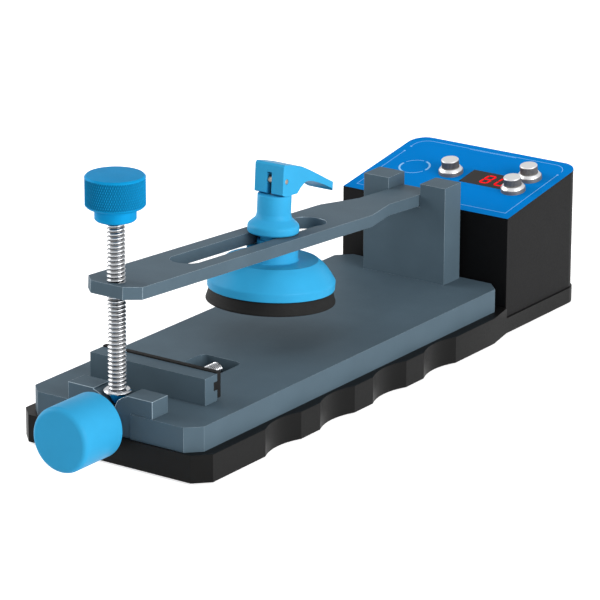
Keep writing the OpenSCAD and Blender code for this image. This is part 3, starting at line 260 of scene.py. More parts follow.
def lit_red():
    # Light-emitting segment behind a diffuser: saturated red, with faint clouds in its glow.
    made, tree, body, place = shader(
        "lit_segment_red", colours().digits, specular_ior_level=0.03, roughness=0.5,
        emission_strength=0.9
    )
    glow = tint(tree, body, grain(tree, place, 1.2), 0.06)
    tree.links.new(glow.outputs["Result"], body.inputs["Emission Color"])
    return made


def metal(name, code, rough, spread, size, stretch=(1, 1, 1), depth=0.004, metallic=1.0):
    """Bare or plated metal whose gloss follows fine machining or polishing marks, with painted shade in
    any grooves that the groove tree cut.
    """
    made, tree, body, place = shader(name, linear(code), metallic=metallic)
    marks = grain(tree, place, size, 3, stretch)
    tint(tree, body, marks, 0.04)
    vary(tree, body, marks, rough - spread, rough + spread)
    relief(tree, body, marks, depth)
    # Painted shade in the grooves that the groove tree cut.
    paint_groove_shade(tree, body, 0.8)
    return made


def laminate():
    # Glass-epoxy laminate under green solder mask: its cloth shows as a fine square weave.
    made, tree, body, place = shader("glass_epoxy_board", linear("#1f6b3a"), ior=1.55, roughness=0.35)
    yarn = {"Vector": place, "Scale": 250.0, "Distortion": 0.4}
    across, along = (
        add(tree, "ShaderNodeTexWave", yarn, bands_direction=way).outputs["Fac"] for way in "XY"
    )
    tint(tree, body, calc(tree, "MULTIPLY", across, along), 0.12)
    return made


def fibre():
    # Pressed ceramic fibre sheet: matt, with short soft fibres.
    made, tree, body, place = shader("ceramic_fibre_sheet", linear("#d8d4c6"), roughness=0.85)
    strands = grain(tree, place, 0.8, 4, (1, 0.15, 1))
    tint(tree, body, strands, 0.10)
    relief(tree, body, strands, 0.05)
    return made


def elastomer(name, code, skin, rough, depth):
    """Rubber or matt plastic with a moulded skin."""
    return coat(name, linear(code), 0, 0.12, 7, 0.18, skin, rough, depth)


FINISHES = {}


def finish(name):
    """The material of that name, made the first time it is asked for."""
    dye = colours()
    makers = {
        # Bead-blasted aluminium with a slate-blue dye: a faint metallic sheen, a fine even frost,
        # and faint clouds where the dye took unevenly. The 0.1 mm frost is drawn at 0.35 mm.
        "slate": (
            coat, "anodised_aluminium_slate", dye.slate, 0.15, 0.08, 14, 0.05, 0.35,
            (0.52, 0.62), 0.012),
        # Paler cut edges, partly a painted highlight.
        "slate_rim_highlight": (anodised_rim_highlight,),
        # Satin black powder coat on metal: a low orange peel about a millimetre across and a soft
        # sheen, thicker on the cast tray than on the folded case.
        "body": (
            coat, "powder_coat_black_cast", dye.body, 0, 0.1, 9, 0.10, 0.9, (0.37, 0.47), 0.010),
        "case": (
            coat, "powder_coat_black_sheet", dye.case, 0, 0.1, 9, 0.10, 0.7, (0.45, 0.55), 0.010),
        # Turned aluminium with a bright blue dye: a faint metallic sheen over fine tool marks,
        # whose 0.05 mm pitch is drawn at 0.5 mm, too faint to see as lines from a step away.
        # The last value paints shade into the grooves of the knurl.
        "knob": (
            coat, "anodised_aluminium_blue", dye.knob, 0.12, 0.03, 8, 0.04, 0.5, (0.44, 0.52), 0.006,
            (1, 1, 0.2), 0.55),
        # Injection-moulded nylon in sky blue: half gloss, dead smooth, a trace of flow in the colour.
        "cup": (
            coat, "moulded_nylon_sky_blue", dye.cup, 0, 0.05, 12, 0.03, 0.9, (0.34, 0.42), 0.006),
        # Polyester film printed blue on its back: a fine matt texture over an even, deep colour.
        "panel": (
            coat, "printed_polyester_film", dye.panel, 0, 0.01, 25, 0.03, 0.3, (0.52, 0.62), 0.004),
        "ink": (print_ink,),
        "window": (smoked_window,),
        "lit": (lit_red,),
        # Bright chrome on brass: clear reflections, slightly softened by polishing marks.
        "chrome": (metal, "chrome_plate", "#d2d2d4", 0.34, 0.03, 1.2, (1, 1, 1), 0.0006),
        # The same plating over a turned, unpolished side: darker and softer, with fine rings and painted
        # shade between its ribs.
        "satin": (
            metal, "chrome_plate_satin", "#7d7975", 0.42, 0.05, 0.3, (0.2, 0.2, 1), 0.002, 0.6),
        # The spun face on top of a cap: matt, and painted pale as a highlight, so it stays bright from
        # every side.
        "face": (
            metal, "chrome_plate_spun", "#cfcfcf", 0.42, 0.05, 0.4, (1, 1, 1), 0.001, 0.55),
        # Ground silver steel of the lever's pin and of the plunger: greyer than the screws.
        "pin": (metal, "silver_steel_ground", "#94897e", 0.36, 0.04, 0.5, (1, 1, 0.2), 0.001),
        # Stainless rod with rolled threads: bright crests, painted shade in the thread's grooves, and a
        # drawn grain along its length.
        "steel": (metal, "stainless_steel", "#bcbec1", 0.24, 0.05, 0.9, (1, 1, 0.2), 0.001),
        # Black-oxide steel of cap screws: dark, oily half gloss.
        "black_steel": (metal, "black_oxide_steel", "#3b3b3d", 0.38, 0.07, 0.8),
        # Free-cutting brass of the jaw's nut: warm, with turning marks.
        "brass": (metal, "turned_brass", "#c9a45c", 0.30, 0.06, 0.7, (1, 0.2, 1)),
        # Elastomers of the cup, the jaw, the feet and the heater: matt, with a fine sandy skin and
        # a slight grey bloom.
        "rubber": (elastomer, "nitrile_rubber_black", "#161616", 0.5, (0.62, 0.74), 0.03),
        "foot_rubber": (elastomer, "foot_rubber_black", "#181818", 0.6, (0.69, 0.81), 0.04),
        "silicone": (elastomer, "silicone_sheet_red_brown", "#8d4a3a", 0.7, (0.54, 0.66), 0.03),
        "fibre": (fibre,),
        "board": (laminate,),
        # Moulded parts of the inlet and the switches: glass-filled nylon with a sandy mould skin.
        "moulding": (elastomer, "glass_filled_nylon_black", "#1c1c1d", 0.6, (0.44, 0.56), 0.02),
        # White display body: hard polycarbonate with a light mould texture.
        "white": (elastomer, "polycarbonate_white", "#d9d9d6", 0.8, (0.39, 0.51), 0.01),
    }
    if name not in FINISHES:
        maker, *given = makers[name]
        FINISHES[name] = maker(*given)
    return FINISHES[name]


def linked(name, data):
    """New object at the scene's origin."""
    made = bpy.data.objects.new(name, data)
    bpy.context.scene.collection.objects.link(made)
    return made


def new_piece(name, mesh, *finishes):
    """Object of a finished mesh with its materials in order."""
    for item in finishes:
        mesh.materials.append(finish(item))
    return linked(name, mesh)


def settle(piece):
    """Turns a piece's modifiers into its plain mesh."""
    bpy.context.view_layer.update()
    graph = bpy.context.evaluated_depsgraph_get()
    mesh = bpy.data.meshes.new_from_object(piece.evaluated_get(graph))
    piece.modifiers.clear()
    piece.data = mesh
    return piece


def smooth(piece, angle=20):
    """Smooth shading that breaks at real edges."""
    piece.data.shade_smooth()
    piece.data.set_sharp_from_angle(angle=math.radians(angle))
    return piece


def ride_with(piece, node):
    """The piece rides with a CAD node, which still shows or has its own stand-in."""
    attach(piece, frame["nodes"][node]["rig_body"])
    return piece


def mount(piece, node):
    """The piece rides with a CAD node and stands for it."""
    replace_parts(ride_with(piece, node), node)
    return piece


def meshed(work, name, turn_out=True):
    """Mesh of a finished bmesh. Its faces are turned outward, unless they are known to be."""
    if turn_out:
        bmesh.ops.recalc_face_normals(work, faces=work.faces)
    mesh = bpy.data.meshes.new(name)
    work.to_mesh(mesh)
    work.free()
    return mesh


def dressed(node, name, edge, finishes, steps=2, angle=16, shade=20):
    """Copy of a CAD node that stands for it. Its outward edges are broken where its faces meet at more
    than angle degrees, and the last finish goes on them. Faces that meet at less than shade degrees
    look smooth, and the large ones stay level."""
    work = bmesh.new()
    work.from_mesh(frame["nodes"][node].data)
    bmesh.ops.remove_doubles(work, verts=work.verts, dist=0.002 * MM)
    bmesh.ops.dissolve_limit(work, angle_limit=math.radians(0.3), verts=work.verts, edges=work.edges)
    weight = work.edges.layers.float.new("bevel_weight_edge")
    for line in work.edges:
        if len(line.link_faces) == 2 and line.calc_face_angle_signed(0) > math.radians(angle):
            line[weight] = 1
    mesh = meshed(work, name, turn_out=False)
    mesh.materials.clear()
    piece = new_piece(name, mesh, *finishes)
    for face in mesh.polygons:
        face.material_index = 0
    mesh.shade_smooth()
    bevel = piece.modifiers.new("edges", "BEVEL")
    bevel.width = edge
    bevel.segments = steps
    bevel.limit_method = "WEIGHT"
    bevel.miter_outer = "MITER_ARC" if steps > 2 else "MITER_SHARP"
    bevel.material = len(finishes) - 1
    settle(piece)
    smooth(piece, shade)
    level = piece.modifiers.new("level_faces", "WEIGHTED_NORMAL")
    level.keep_sharp = True
    settle(piece)
    return mount(piece, node)


def machined(node, share=1.0, shade=20):
    """Anodised copy of a CAD node with the machined edge break, or a share of it on a small piece."""
    # The second finish paints a highlight on the broken edges.
    finishes = ("slate", "slate_rim_highlight")
    edge = sizes().edge * share
    return dressed(node, node + "_anodised", edge, finishes, shade=shade)


def arc(centre, radius, start, end, steps):
    """Points round part of a circle, between two angles."""
    return [
        (centre[0] + radius * math.cos(start + (end - start) * i / steps),
         centre[1] + radius * math.sin(start + (end - start) * i / steps))
        for i in range(steps + 1)
    ]


def eased(points):
    """Outline in millimetres whose corners with a third value are rounded to that radius."""
    out = []
    count = len(points)
    for i, point in enumerate(points):
        if len(point) < 3:
            out.append(point)
            continue
        here, radius = Vector(point[:2]), point[2]
        before = (Vector(points[i - 1][:2]) - here).normalized()
        after = (Vector(points[(i + 1) % count][:2]) - here).normalized()
        half = math.acos(max(-1, min(1, before.dot(after)))) / 2
        reach = radius / math.tan(half)
        middle = here + (before + after).normalized() * radius / math.sin(half)
        first, last = here + before * reach, here + after * reach
        a = math.atan2(first.y - middle.y, first.x - middle.x)
        b = math.atan2(last.y - middle.y, last.x - middle.x)
        b += TURN if b - a < -math.pi else (-TURN if b - a > math.pi else 0)
        out += arc(middle, radius, a, b, max(3, min(8, int(abs(b - a) * 4) + 2)))
    return out


def turned(name, profile, item, steps=72, closed=False, six=()):
    """Mesh turned round Z from a profile of (radius, height) in millimetres, whose corners may have a
    rounding as third value. A profile that starts and ends on the axis is closed by its poles, and a
    closed one is a ring. six lists the rows whose radius is the inner radius of a hexagon."""
    work = bmesh.new()
    rings = []
    for row, (r, z) in enumerate(eased(profile)):
        if r < 1e-6:
            rings.append([work.verts.new((0, 0, z * MM))])
            continue
        ring = []
        for i in range(steps):
            a = TURN * i / steps
            here = (r / math.cos(a % (TURN / 6) - TURN / 12) if row in six else r) * MM
            ring.append(work.verts.new((here * math.cos(a), here * math.sin(a), z * MM)))
        rings.append(ring)
    pairs = list(zip(rings, rings[1:])) + ([(rings[-1], rings[0])] if closed else [])
    for low, high in pairs:
        for i in range(steps):
            j = (i + 1) % steps
            # A pole has one point for the whole ring, so there the face is a triangle.
            corners = dict.fromkeys(ring[k % len(ring)] for ring, k in (
                (low, i), (low, j), (high, j), (high, i)))
            if len(corners) > 2:
                work.faces.new(list(corners))
    return smooth(new_piece(name, meshed(work, name), item), 40)


def rows(r, low, high, step):
    """Profile points up a straight side, close enough together for a pattern to be cut into it."""
    count = max(1, round((high - low) / step))
    return [(r, low + (high - low) * i / count) for i in range(count + 1)]


def placed(piece, matrix):
    """Moves a piece's mesh to its place, so that its object stays at the origin."""
    piece.data.transform(matrix)
    return piece


def merged(name, *pieces):
    """Joins several finished meshes into one piece."""
    work = bmesh.new()
    used = []
    for piece in pieces:
        start = len(work.faces)
        work.from_mesh(piece.data)
        work.faces.ensure_lookup_table()
        for face in work.faces[start:]:
            item = piece.data.materials[face.material_index]
            if item not in used:
                used.append(item)
            face.material_index = used.index(item)
    mesh = meshed(work, name, turn_out=False)
    for item in used:
        mesh.materials.append(item)
    for piece in pieces:
        bpy.data.objects.remove(piece)
    return smooth(linked(name, mesh))


# ---- Geometry node trees ----

def new_tree(name, inputs):
    """Geometry tree with a geometry in and out, a material and named inputs for its sizes."""
    tree = bpy.data.node_groups.new(name, "GeometryNodeTree")
    for label, kind in (("Geometry", "Geometry"), *inputs, ("Material", "Material")):
        tree.interface.new_socket(label, in_out="INPUT", socket_type="NodeSocket" + kind)
    tree.interface.new_socket("Geometry", in_out="OUTPUT", socket_type="NodeSocketGeometry")
    return tree, add(tree, "NodeGroupInput").outputs


def end_tree(tree, inp, geometry):
    """Ends a tree in plain geometry with its material."""
    real = add(tree, "GeometryNodeRealizeInstances", {"Geometry": geometry})
    coated = add(tree, "GeometryNodeSetMaterial", {
        "Geometry": real.outputs["Geometry"], "Material": inp["Material"]
    })
    add(tree, "NodeGroupOutput", {0: coated.outputs["Geometry"]})
    return tree


def groove_tree():
    """Cuts two families of grooves into the side of a turned body between two heights: crossed
    families make a diamond knurl, upright ones ribs, and a single sloping one a thread."""
    names = ("Grooves around", "First slope", "Second slope", "Depth", "Low", "High")
    tree, inp = new_tree("cut_grooves", [(name, "Float") for name in names])
    where = add(tree, "GeometryNodeInputPosition").outputs["Position"]
    parts = add(tree, "ShaderNodeSeparateXYZ", {"Vector": where}).outputs
    angle = calc(tree, "DIVIDE", calc(tree, "ARCTAN2", parts["Y"], parts["X"]), TURN)
    round_it = calc(tree, "MULTIPLY", angle, inp["Grooves around"])
    waves = []
    for slope in ("First slope", "Second slope"):
        phase = calc(tree, "ADD", round_it, calc(tree, "MULTIPLY", parts["Z"], inp[slope]))
        crest = calc(tree, "MULTIPLY", calc(tree, "PINGPONG", phase, 0.5), 2.0)
        waves.append(calc(tree, "SUBTRACT", 1.0, crest))
    cut = calc(tree, "MAXIMUM", *waves)
    soft = add(tree, "ShaderNodeMapRange", {"Value": cut}, interpolation_type="SMOOTHSTEP")
    above = calc(tree, "GREATER_THAN", parts["Z"], inp["Low"])
    below = calc(tree, "LESS_THAN", parts["Z"], inp["High"])
    inside = calc(tree, "MULTIPLY", soft.outputs["Result"], calc(tree, "MULTIPLY", above, below))
    flat = add(tree, "ShaderNodeVectorMath", {0: where, 1: (1, 1, 0)}, operation="MULTIPLY")
    out = add(tree, "ShaderNodeVectorMath", {0: flat.outputs["Vector"]}, operation="NORMALIZE")
    inward = calc(tree, "MULTIPLY", calc(tree, "MULTIPLY", inside, inp["Depth"]), -1.0)
    shift = add(tree, "ShaderNodeVectorMath", {
        0: out.outputs["Vector"], "Scale": inward
    }, operation="SCALE")
    marked = add(tree, "GeometryNodeStoreNamedAttribute", {
        "Geometry": inp["Geometry"], "Name": "groove", "Value": inside
    }, data_type="FLOAT", domain="POINT")
    moved = add(tree, "GeometryNodeSetPosition", {
        "Geometry": marked.outputs["Geometry"], "Offset": shift.outputs["Vector"]
    })
    return end_tree(tree, inp, moved.outputs["Geometry"])


def set_out_tree():
    """Sets copies of a body out on the points of another object."""
    tree, inp = new_tree("set_out", [("Pattern", "Object")])
    points = add(tree, "GeometryNodeObjectInfo", {"Object": inp["Pattern"]}).outputs["Geometry"]
    copies = add(tree, "GeometryNodeInstanceOnPoints", {
        "Points": points, "Instance": inp["Geometry"]
    })
    return end_tree(tree, inp, copies.outputs["Instances"])


TREES = {}


def grow(piece, maker, item, values):
    """Runs a geometry tree on a piece with its finish and its inputs' values, and keeps the result."""
    values["Material"] = finish(item)
    if maker not in TREES:
        TREES[maker] = maker()
    tree = TREES[maker]
    modifier = piece.modifiers.new(tree.name, "NODES")
    modifier.node_group = tree
    for socket in tree.interface.items_tree:
        if socket.in_out == "INPUT" and socket.name in values:
            modifier[socket.identifier] = values[socket.name]
    settle(piece)
    return smooth(piece, 60)


def grooved(piece, item, around, first, second, depth, low, high):
    """Grooves cut by the tree, with heights in millimetres and slopes in grooves per metre."""
    return grow(piece, groove_tree, item, {
        "Grooves around": float(around), "First slope": first, "Second slope": second, "Depth": depth,
        "Low": low * MM, "High": high * MM
    })


def set_out(piece, item, spots):
    """Copies of a body at spots in metres."""
    mesh = bpy.data.meshes.new("spots")
    mesh.from_pydata([tuple(s) for s in spots], [], [])
    pattern = linked("spots", mesh)
    grow(piece, set_out_tree, item, {"Pattern": pattern})
    bpy.data.objects.remove(pattern)
    return piece


# ---- Frames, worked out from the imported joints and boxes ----

def joint(name):
    return next(j for j in frame["joints"] if j["name"] == name)


def middle(node):
    low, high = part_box(node)
    return (low + high) / 2


def axes(origin, along, up):
    """Matrix whose Y runs along, whose Z runs up, and whose X is square to both."""
    y, z = Vector(along).normalized(), Vector(up).normalized()
    x = y.cross(z).normalized()
    turn = Matrix((x, y, z)).transposed().to_4x4()
    return Matrix.Translation(origin) @ turn


ARM_ALONG = Vector(joint("cup_slide")["axis"])
ARM_UP = Vector(joint("plunger_travel")["axis"])
PIVOT = Vector((0, *middle("pivot_pin").yz))
PANEL_UP = -Vector(joint("left_button_press")["axis"])
PANEL_ALONG = Vector((0, PANEL_UP.z, -PANEL_UP.y))


def cup_frame():
    """Frame on the cup's axis at the arm's underside."""
    to_cup, half_arm = 98.35, 2.4
    return axes(PIVOT - ARM_ALONG * to_cup * MM - ARM_UP * half_arm * MM, ARM_ALONG, ARM_UP)


def panel_frame():
    """Frame on the middle of the panel's front upper edge."""
    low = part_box("panel_sheet")[0]
    thick = 0.8 * MM
    return axes(Vector((0, low.y, low.z + thick * PANEL_UP.z)), PANEL_ALONG, PANEL_UP)


def on_panel(spots):
    """Points of the panel's frame for spots in millimetres."""
    return [Vector((x, y, 0)) * MM for x, y in spots]


def lift_frame():
    """Frame where the lift screw stands on the flange of its foot."""
    spot = middle("lift_knob")
    return Matrix.Translation((spot.x, spot.y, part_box("lift_foot")[1].z))


def clamp_frame():
    """Frame on the clamp screw's axis at the front face of the block, Z pointing back."""
    spot = middle("clamp_screw")
    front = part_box("front_block")[0].y
    return Matrix.Translation((spot.x, front, spot.z)) @ Matrix.Rotation(-math.pi / 2, 4, "X")


# ---- Operators, one for each piece or group of like pieces ----

class SEPARATOR_OT_tray(bpy.types.Operator):
    """Cast black tray with its scalloped sides, and the four rubber feet under it"""
    bl_idname = "separator.tray"
    bl_label = "Tray and feet"

    def execute(self, context):
        dressed("base_tray", "cast_tray", sizes().cast_edge, ("body",), 3)
        low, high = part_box("rubber_feet")
        foot = turned("rubber_foot_pads", [
            (0, 0.25), (3.2, 0.25), (3.9, 0, 0.2), (5.95, 0, 0.5), (5.95, 2, 0.15), (0, 2)
        ], "foot_rubber", 40)
        inset = 6 * MM
        xs, ys = ((a + inset, b - inset) for a, b in zip(low.xy, high.xy))
        spots = [(x, y, low.z) for x in xs for y in ys]
        mount(set_out(foot, "foot_rubber", spots), "rubber_feet")
        return {"FINISHED"}


class SEPARATOR_OT_plate(bpy.types.Operator):
    """Heating plate, front block and yoke, machined and anodised, and the steel pivot pin"""
    bl_idname = "separator.plate"
    bl_label = "Plate, block and yoke"

    def execute(self, context):
        machined("heating_plate")
        machined("front_block", SMALL_SHARE)
        machined("yoke")
        dressed("pivot_pin", "pivot_pin_ground", PIN_EDGE, ("steel",))
        return {"FINISHED"}


class SEPARATOR_OT_arm(bpy.types.Operator):
    """Lift arm with its long slot and broken rims"""
    bl_idname = "separator.arm"
    bl_label = "Lift arm"

    def execute(self, context):
        # The sides bend by 15 degrees where they taper, and that has to look sharp.
        machined("lift_arm", shade=13)
        return {"FINISHED"}


class SEPARATOR_OT_jaw(bpy.types.Operator):
    """Clamp jaw with its rubber strip and brass nut"""
    bl_idname = "separator.jaw"
    bl_label = "Clamp jaw"

    def execute(self, context):
        machined("clamp_jaw", SMALL_SHARE)
        dressed("jaw_pad", "jaw_strip_rubber", 0.3 * MM, ("rubber",), 3)
        dressed("jaw_nut", "jaw_nut_turned", PIN_EDGE, ("brass",))
        return {"FINISHED"}


class SEPARATOR_OT_lift(bpy.types.Operator):
    """Lift screw with its thread, swivel foot, and the knurled knob on top"""
    bl_idname = "separator.lift"
    bl_label = "Lift screw and knob"

    def execute(self, context):
        base = lift_frame()
        pitch = sizes().thread_pitch
        rise, knob_top = 65.5, 14.1
        top = rise + knob_top
        thread = rows(3.52, 0.5, top - 0.5, pitch / MM / 10)
        rod = turned("lift_rod", [
            (0, -3.2), (1.4, -3.2), (1.6, -3), (1.6, 0.06), (3.0, 0.06), *thread, (0, top)
        ], "steel", 48)
        grooved(rod, "steel", 1, -1 / pitch, -1 / pitch, sizes().thread_depth, 0.4, top - 0.4)
        mount(placed(rod, base), "lift_screw")

        nose = turned("nose", [
            (0, -5.2), (1.7, -5.2), (2.9, -2.8, 0.2), (2.9, -1.1), (1.7, -1.1), (1.7, -3.2), (0, -3.2)
        ], "knob", 56)
        flange = turned("flange", [
            (1.7, -1.15), (5.2, -1.2, 0.25), (5.4, -0.6, 0.2), (4.6, 0, 0.25), (1.7, 0)
        ], "steel", 56, closed=True)
        foot = merged("lift_foot_turned", nose, flange)
        mount(placed(foot, base), "lift_foot")

        low, high, outer = 5.95, 16.3, 11.3
        knob = turned("lift_knob_knurled", [
            (3.6, 0), (7.4, 0, 0.3), (7.8, 0.5, 0.2), (7.8, 5.1, 0.3), (10.6, 5.1, 0.2),
            (outer, 5.85, 0.2), (outer, low - 0.04), *rows(outer, low, high, 0.19),
            (outer, high + 0.04), (outer, 16.45, 0.1), (10.65, 17.1, 0.15), (0, 17.1)
        ], "knob", sizes().knurl_count * 4)
        slope = 1 / sizes().knurl_tall
        grooved(knob, "knob", sizes().knurl_count, slope, -slope, sizes().knurl_depth, low, high)
        mount(placed(knob, base @ Matrix.Translation((0, 0, rise * MM))), "lift_knob")
        return {"FINISHED"}


class SEPARATOR_OT_clamp(bpy.types.Operator):
    """Clamp screw with its thread and the plain round knob in front"""
    bl_idname = "separator.clamp"
    bl_label = "Clamp screw and knob"

    def execute(self, context):
        base = clamp_frame()
        pitch = sizes().clamp_pitch
        thread = rows(2.95, 12, 66.6, pitch / MM / 6)
        rod = turned("clamp_rod", [
            (0, -21.4), (2.8, -21.4), (2.95, -21.2), (2.95, 11.8), *thread, (2.4, 67.15), (0, 67.15)
        ], "steel", 36)
        grooved(rod, "steel", 1, 1 / pitch, 1 / pitch, 0.4 * MM, 11.9, 66.5)
        mount(placed(rod, base), "clamp_screw")

        knob = turned("clamp_knob_turned", [
            (3.05, -15), (3.05, -0.1), (3.9, -0.06, 0.2), (4, -8.5, 0.6), (12.7, -8.46, 0.9),
            (12.7, -30.76, 2.2), (0, -30.76)
        ], "cup", 96)
        mount(placed(knob, base), "clamp_knob")
        return {"FINISHED"}


class SEPARATOR_OT_cup(bpy.types.Operator):
    """Suction cup: dome, sleeve, slide bush and the rubber disc below"""
    bl_idname = "separator.cup"
    bl_label = "Suction cup"

    def execute(self, context):
        base = cup_frame()
        shelf, wide, ring_z, fall, bulge = 18.1, 25.1, -13.6, 8.1, 1.0
        flank = [
            (shelf + (wide - shelf) * t, ring_z + fall * (1 - t) + bulge * math.sin(math.pi * t))
            for t in (i / 20 for i in range(3, 21))
        ]
        inner = [(r - 2.2, z - 1.6) for r, z in flank[-2::-1]]
        dome = turned("cup_dome_moulded", [
            (3.95, 11.7), (3.95, -0.4, 0.3), (10.1, -0.4, 0.7), (10.1, -5.75, 0.7), (17.4, -5.6, 0.3),
            (18.1, -5.42, 0.9), *flank, (25.1, -13.95, 0.3), (24.95, -16.95, 0.35), (22.2, -17),
            *inner, (17.0, -7.9), (1.82, -7.9), (1.82, 11.7)
        ], "cup", 112, closed=True)
        mount(placed(dome, base), "cup_dome")

        sleeve = turned("cup_sleeve_moulded", [
            (4.1, 5.0), (10.13, 5.0, 1.0), (10.13, 8.3, 1.8), (8.9, 9.3, 1.0), (7.1, 10.9, 2.0),
            (6.68, 12.8, 2.0), (6.68, 20.35, 0.35), (1.82, 20.35), (1.82, 11.9), (4.1, 11.9)
        ], "cup", 96, closed=True)
        mount(placed(sleeve, base), "cup_sleeve")

        bush = turned("slide_bush_moulded", [
            (4.05, 0.05), (6.2, 0.05, 0.2), (6.2, 2.2, 0.2), (5.13, 2.2), (5.13, 4.78, 0.2), (4.05, 4.78)
        ], "cup", 64, closed=True)
        mount(placed(bush, base), "slide_bush")

        disc = turned("suction_rubber", [
            (0, -17.25), (22, -17.25), (24.1, -17.25, 0.25), (24.5, -18.6, 1.0), (25.0, -20.6, 1.0),
            (25.4, -21.6, 0.25), (25.4, -22.3, 0.25), (23.4, -22.3, 0.3), (15, -19.1, 1), (0, -18.9)
        ], "rubber", 112)
        mount(placed(disc, base), "cup_rubber")
        return {"FINISHED"}


class SEPARATOR_OT_lever(bpy.types.Operator):
    """Cam lever with its pin and the plunger that it draws up"""
    bl_idname = "separator.lever"
    bl_label = "Cam lever"

    def execute(self, context):
        dressed("cam_lever", "cam_lever_moulded", 0.5 * MM, ("cup",), 3, 30, 38)
        dressed("lever_pin", "lever_pin_ground", PIN_EDGE, ("pin",))
        dressed("cup_plunger", "plunger_turned", 0.15 * MM, ("pin",))
        return {"FINISHED"}


class SEPARATOR_OT_case(bpy.types.Operator):
    """Controller case and the mains inlet at its back"""
    bl_idname = "separator.case"
    bl_label = "Controller case"

    def execute(self, context):
        dressed("case_shell", "case_folded", sizes().cast_edge * SMALL_SHARE, ("case",))
        dressed("mains_inlet", "mains_inlet_moulded", 0.3 * MM, ("moulding",))
        dressed("inlet_pins", "inlet_pins_plated", 0.4 * MM, ("steel",))
        return {"FINISHED"}


def ribbon(points, width, low, high, item="ink"):
    """Flat strip in millimetres along points (x, y), between two heights."""
    work = bmesh.new()
    rings = []
    last = len(points) - 1
    for i, point in enumerate(points):
        here = Vector(point)
        before, after = Vector(points[max(i - 1, 0)]), Vector(points[min(i + 1, last)])
        a = (here - before if i else after - here).normalized()
        b = (after - here).normalized() if i < last else a
        side = Vector((-(a + b).y, (a + b).x)).normalized()
        side *= width / 2 / max(0.4, side.dot(Vector((-a.y, a.x))))
        ends = ((here + side, low), (here - side, low), (here - side, high), (here + side, high))
        rings.append([work.verts.new((spot.x * MM, spot.y * MM, z * MM)) for spot, z in ends])
    for first, second in zip(rings, rings[1:]):
        for k in range(4):
            work.faces.new([first[k], first[(k + 1) % 4], second[(k + 1) % 4], second[k]])
    work.faces.new(rings[0])
    work.faces.new(rings[-1])
    return new_piece("ribbon", meshed(work, "ribbon"), item)


class SEPARATOR_OT_panel(bpy.types.Operator):
    """Blue panel with its printed line, dots and ring, the display window and the lit digits"""
    bl_idname = "separator.panel"
    bl_label = "Panel and display"

    def execute(self, context):
        base = panel_frame()
        sheet = dressed("panel_sheet", "panel_film", 0.12 * MM, ("panel", "case"))
        for face in sheet.data.polygons:
            face.material_index = int(face.normal.dot(PANEL_UP) < 0.9)
        low, high = 0.0, 0.03
        line = sizes().print_width / MM
        side, front, back, corner = 36.5, 4.4, 53.8, 6.0
        gap_low, gap_high, dashes = 40.8, 45.9, 11.2
        left_end = arc((-side + corner, back - corner), corner, math.pi, math.pi / 2, 10)
        right_end = arc((side - corner, back - corner), corner, math.pi / 2, 0.1, 10)
        paths = (
            [(-side, gap_low), (-side, front), (side, front), (side, gap_high - 0.9)],
            [(-side, gap_high), *left_end, (-dashes - 0.4, back)], [(dashes + 0.4, back), *right_end],
        )
        strips = [ribbon(path, line, low, high) for path in paths]
        ring, ring_r = (-23.6, 28.7), 6.4
        for centre, reach, thick in ((210, 42, 0.8), (30, 42, 0.8), (120, 36, 0.25), (300, 36, 0.25)):
            ends = math.radians(centre - reach), math.radians(centre + reach)
            strips.append(ribbon(arc(ring, ring_r, *ends, 20), thick, low, high))
        dot = turned("dot", [(0, 0), (0.45, 0), (0.45, high), (0, high)], "ink", 12)
        spots = [(-side, gap_low), (-side, gap_high), (side, gap_high - 0.6)]
        set_out(dot, "ink", on_panel(spots))
        dash = ribbon([(-0.2, -0.5), (0.2, 0.5)], 0.22, low, high)
        # 32 dashes, from one end of their row to the other
        set_out(dash, "ink", on_panel([((i / 15.5 - 1) * dashes, back - 0.4) for i in range(32)]))
        printed = merged("panel_print", dot, dash, *strips)
        ride_with(placed(printed, base), "panel_sheet")

        left, right, centre_line, across = 1.6, 22.2, 29.8, 12.4
        pane = ribbon([(left, centre_line), (right, centre_line)], across, -2, 0, "window")
        pane.name = "display_window_acrylic"
        mount(placed(pane, base), "display_window")

        tall, wide, bar, lean = 7.9, 4.4, 0.95, 0.09
        # Bars of a digit: steps across and up from its middle, and whether the bar is upright
        top, mid, foot = (0, 1, 0), (0, 0, 0), (0, -1, 0)
        uprights = [(h, v, 1) for v in (0.5, -0.5) for h in (-1, 1)]
        work = bmesh.new()
        for centre, flat_bars in ((10.5, (top, mid, foot)), (17.5, (top, foot))):
            for h, v, upright in (*flat_bars, *uprights):
                way = Vector((0, 1)) if upright else Vector((1, 0))
                reach = ((tall - bar) / 2 if upright else wide - bar) / 2 - 0.08
                spot = Vector((h * (wide - bar) / 2, v * (tall - bar) / 2))
                a, b = spot - way * reach, spot + way * reach
                tip, spread = way * bar / 2, way.yx * bar / 2
                outline = [
                    (left + centre + p.x + p.y * lean, centre_line + p.y) for p in (
                        a, a + tip + spread, b - tip + spread, b, b - tip - spread, a + tip - spread)
                ]
                lower, upper = (
                    [work.verts.new((x * MM, y * MM, z * MM)) for x, y in outline] for z in (0.005, 0.04)
                )
                work.faces.new(upper)
                work.faces.new(lower[::-1])
                for i in range(6):
                    j = (i + 1) % 6
                    work.faces.new([lower[i], lower[j], upper[j], upper[i]])
        digits = new_piece("lit_digits", meshed(work, "lit_digits"), "lit")
        mount(placed(digits, base), "display_digits")
        return {"FINISHED"}


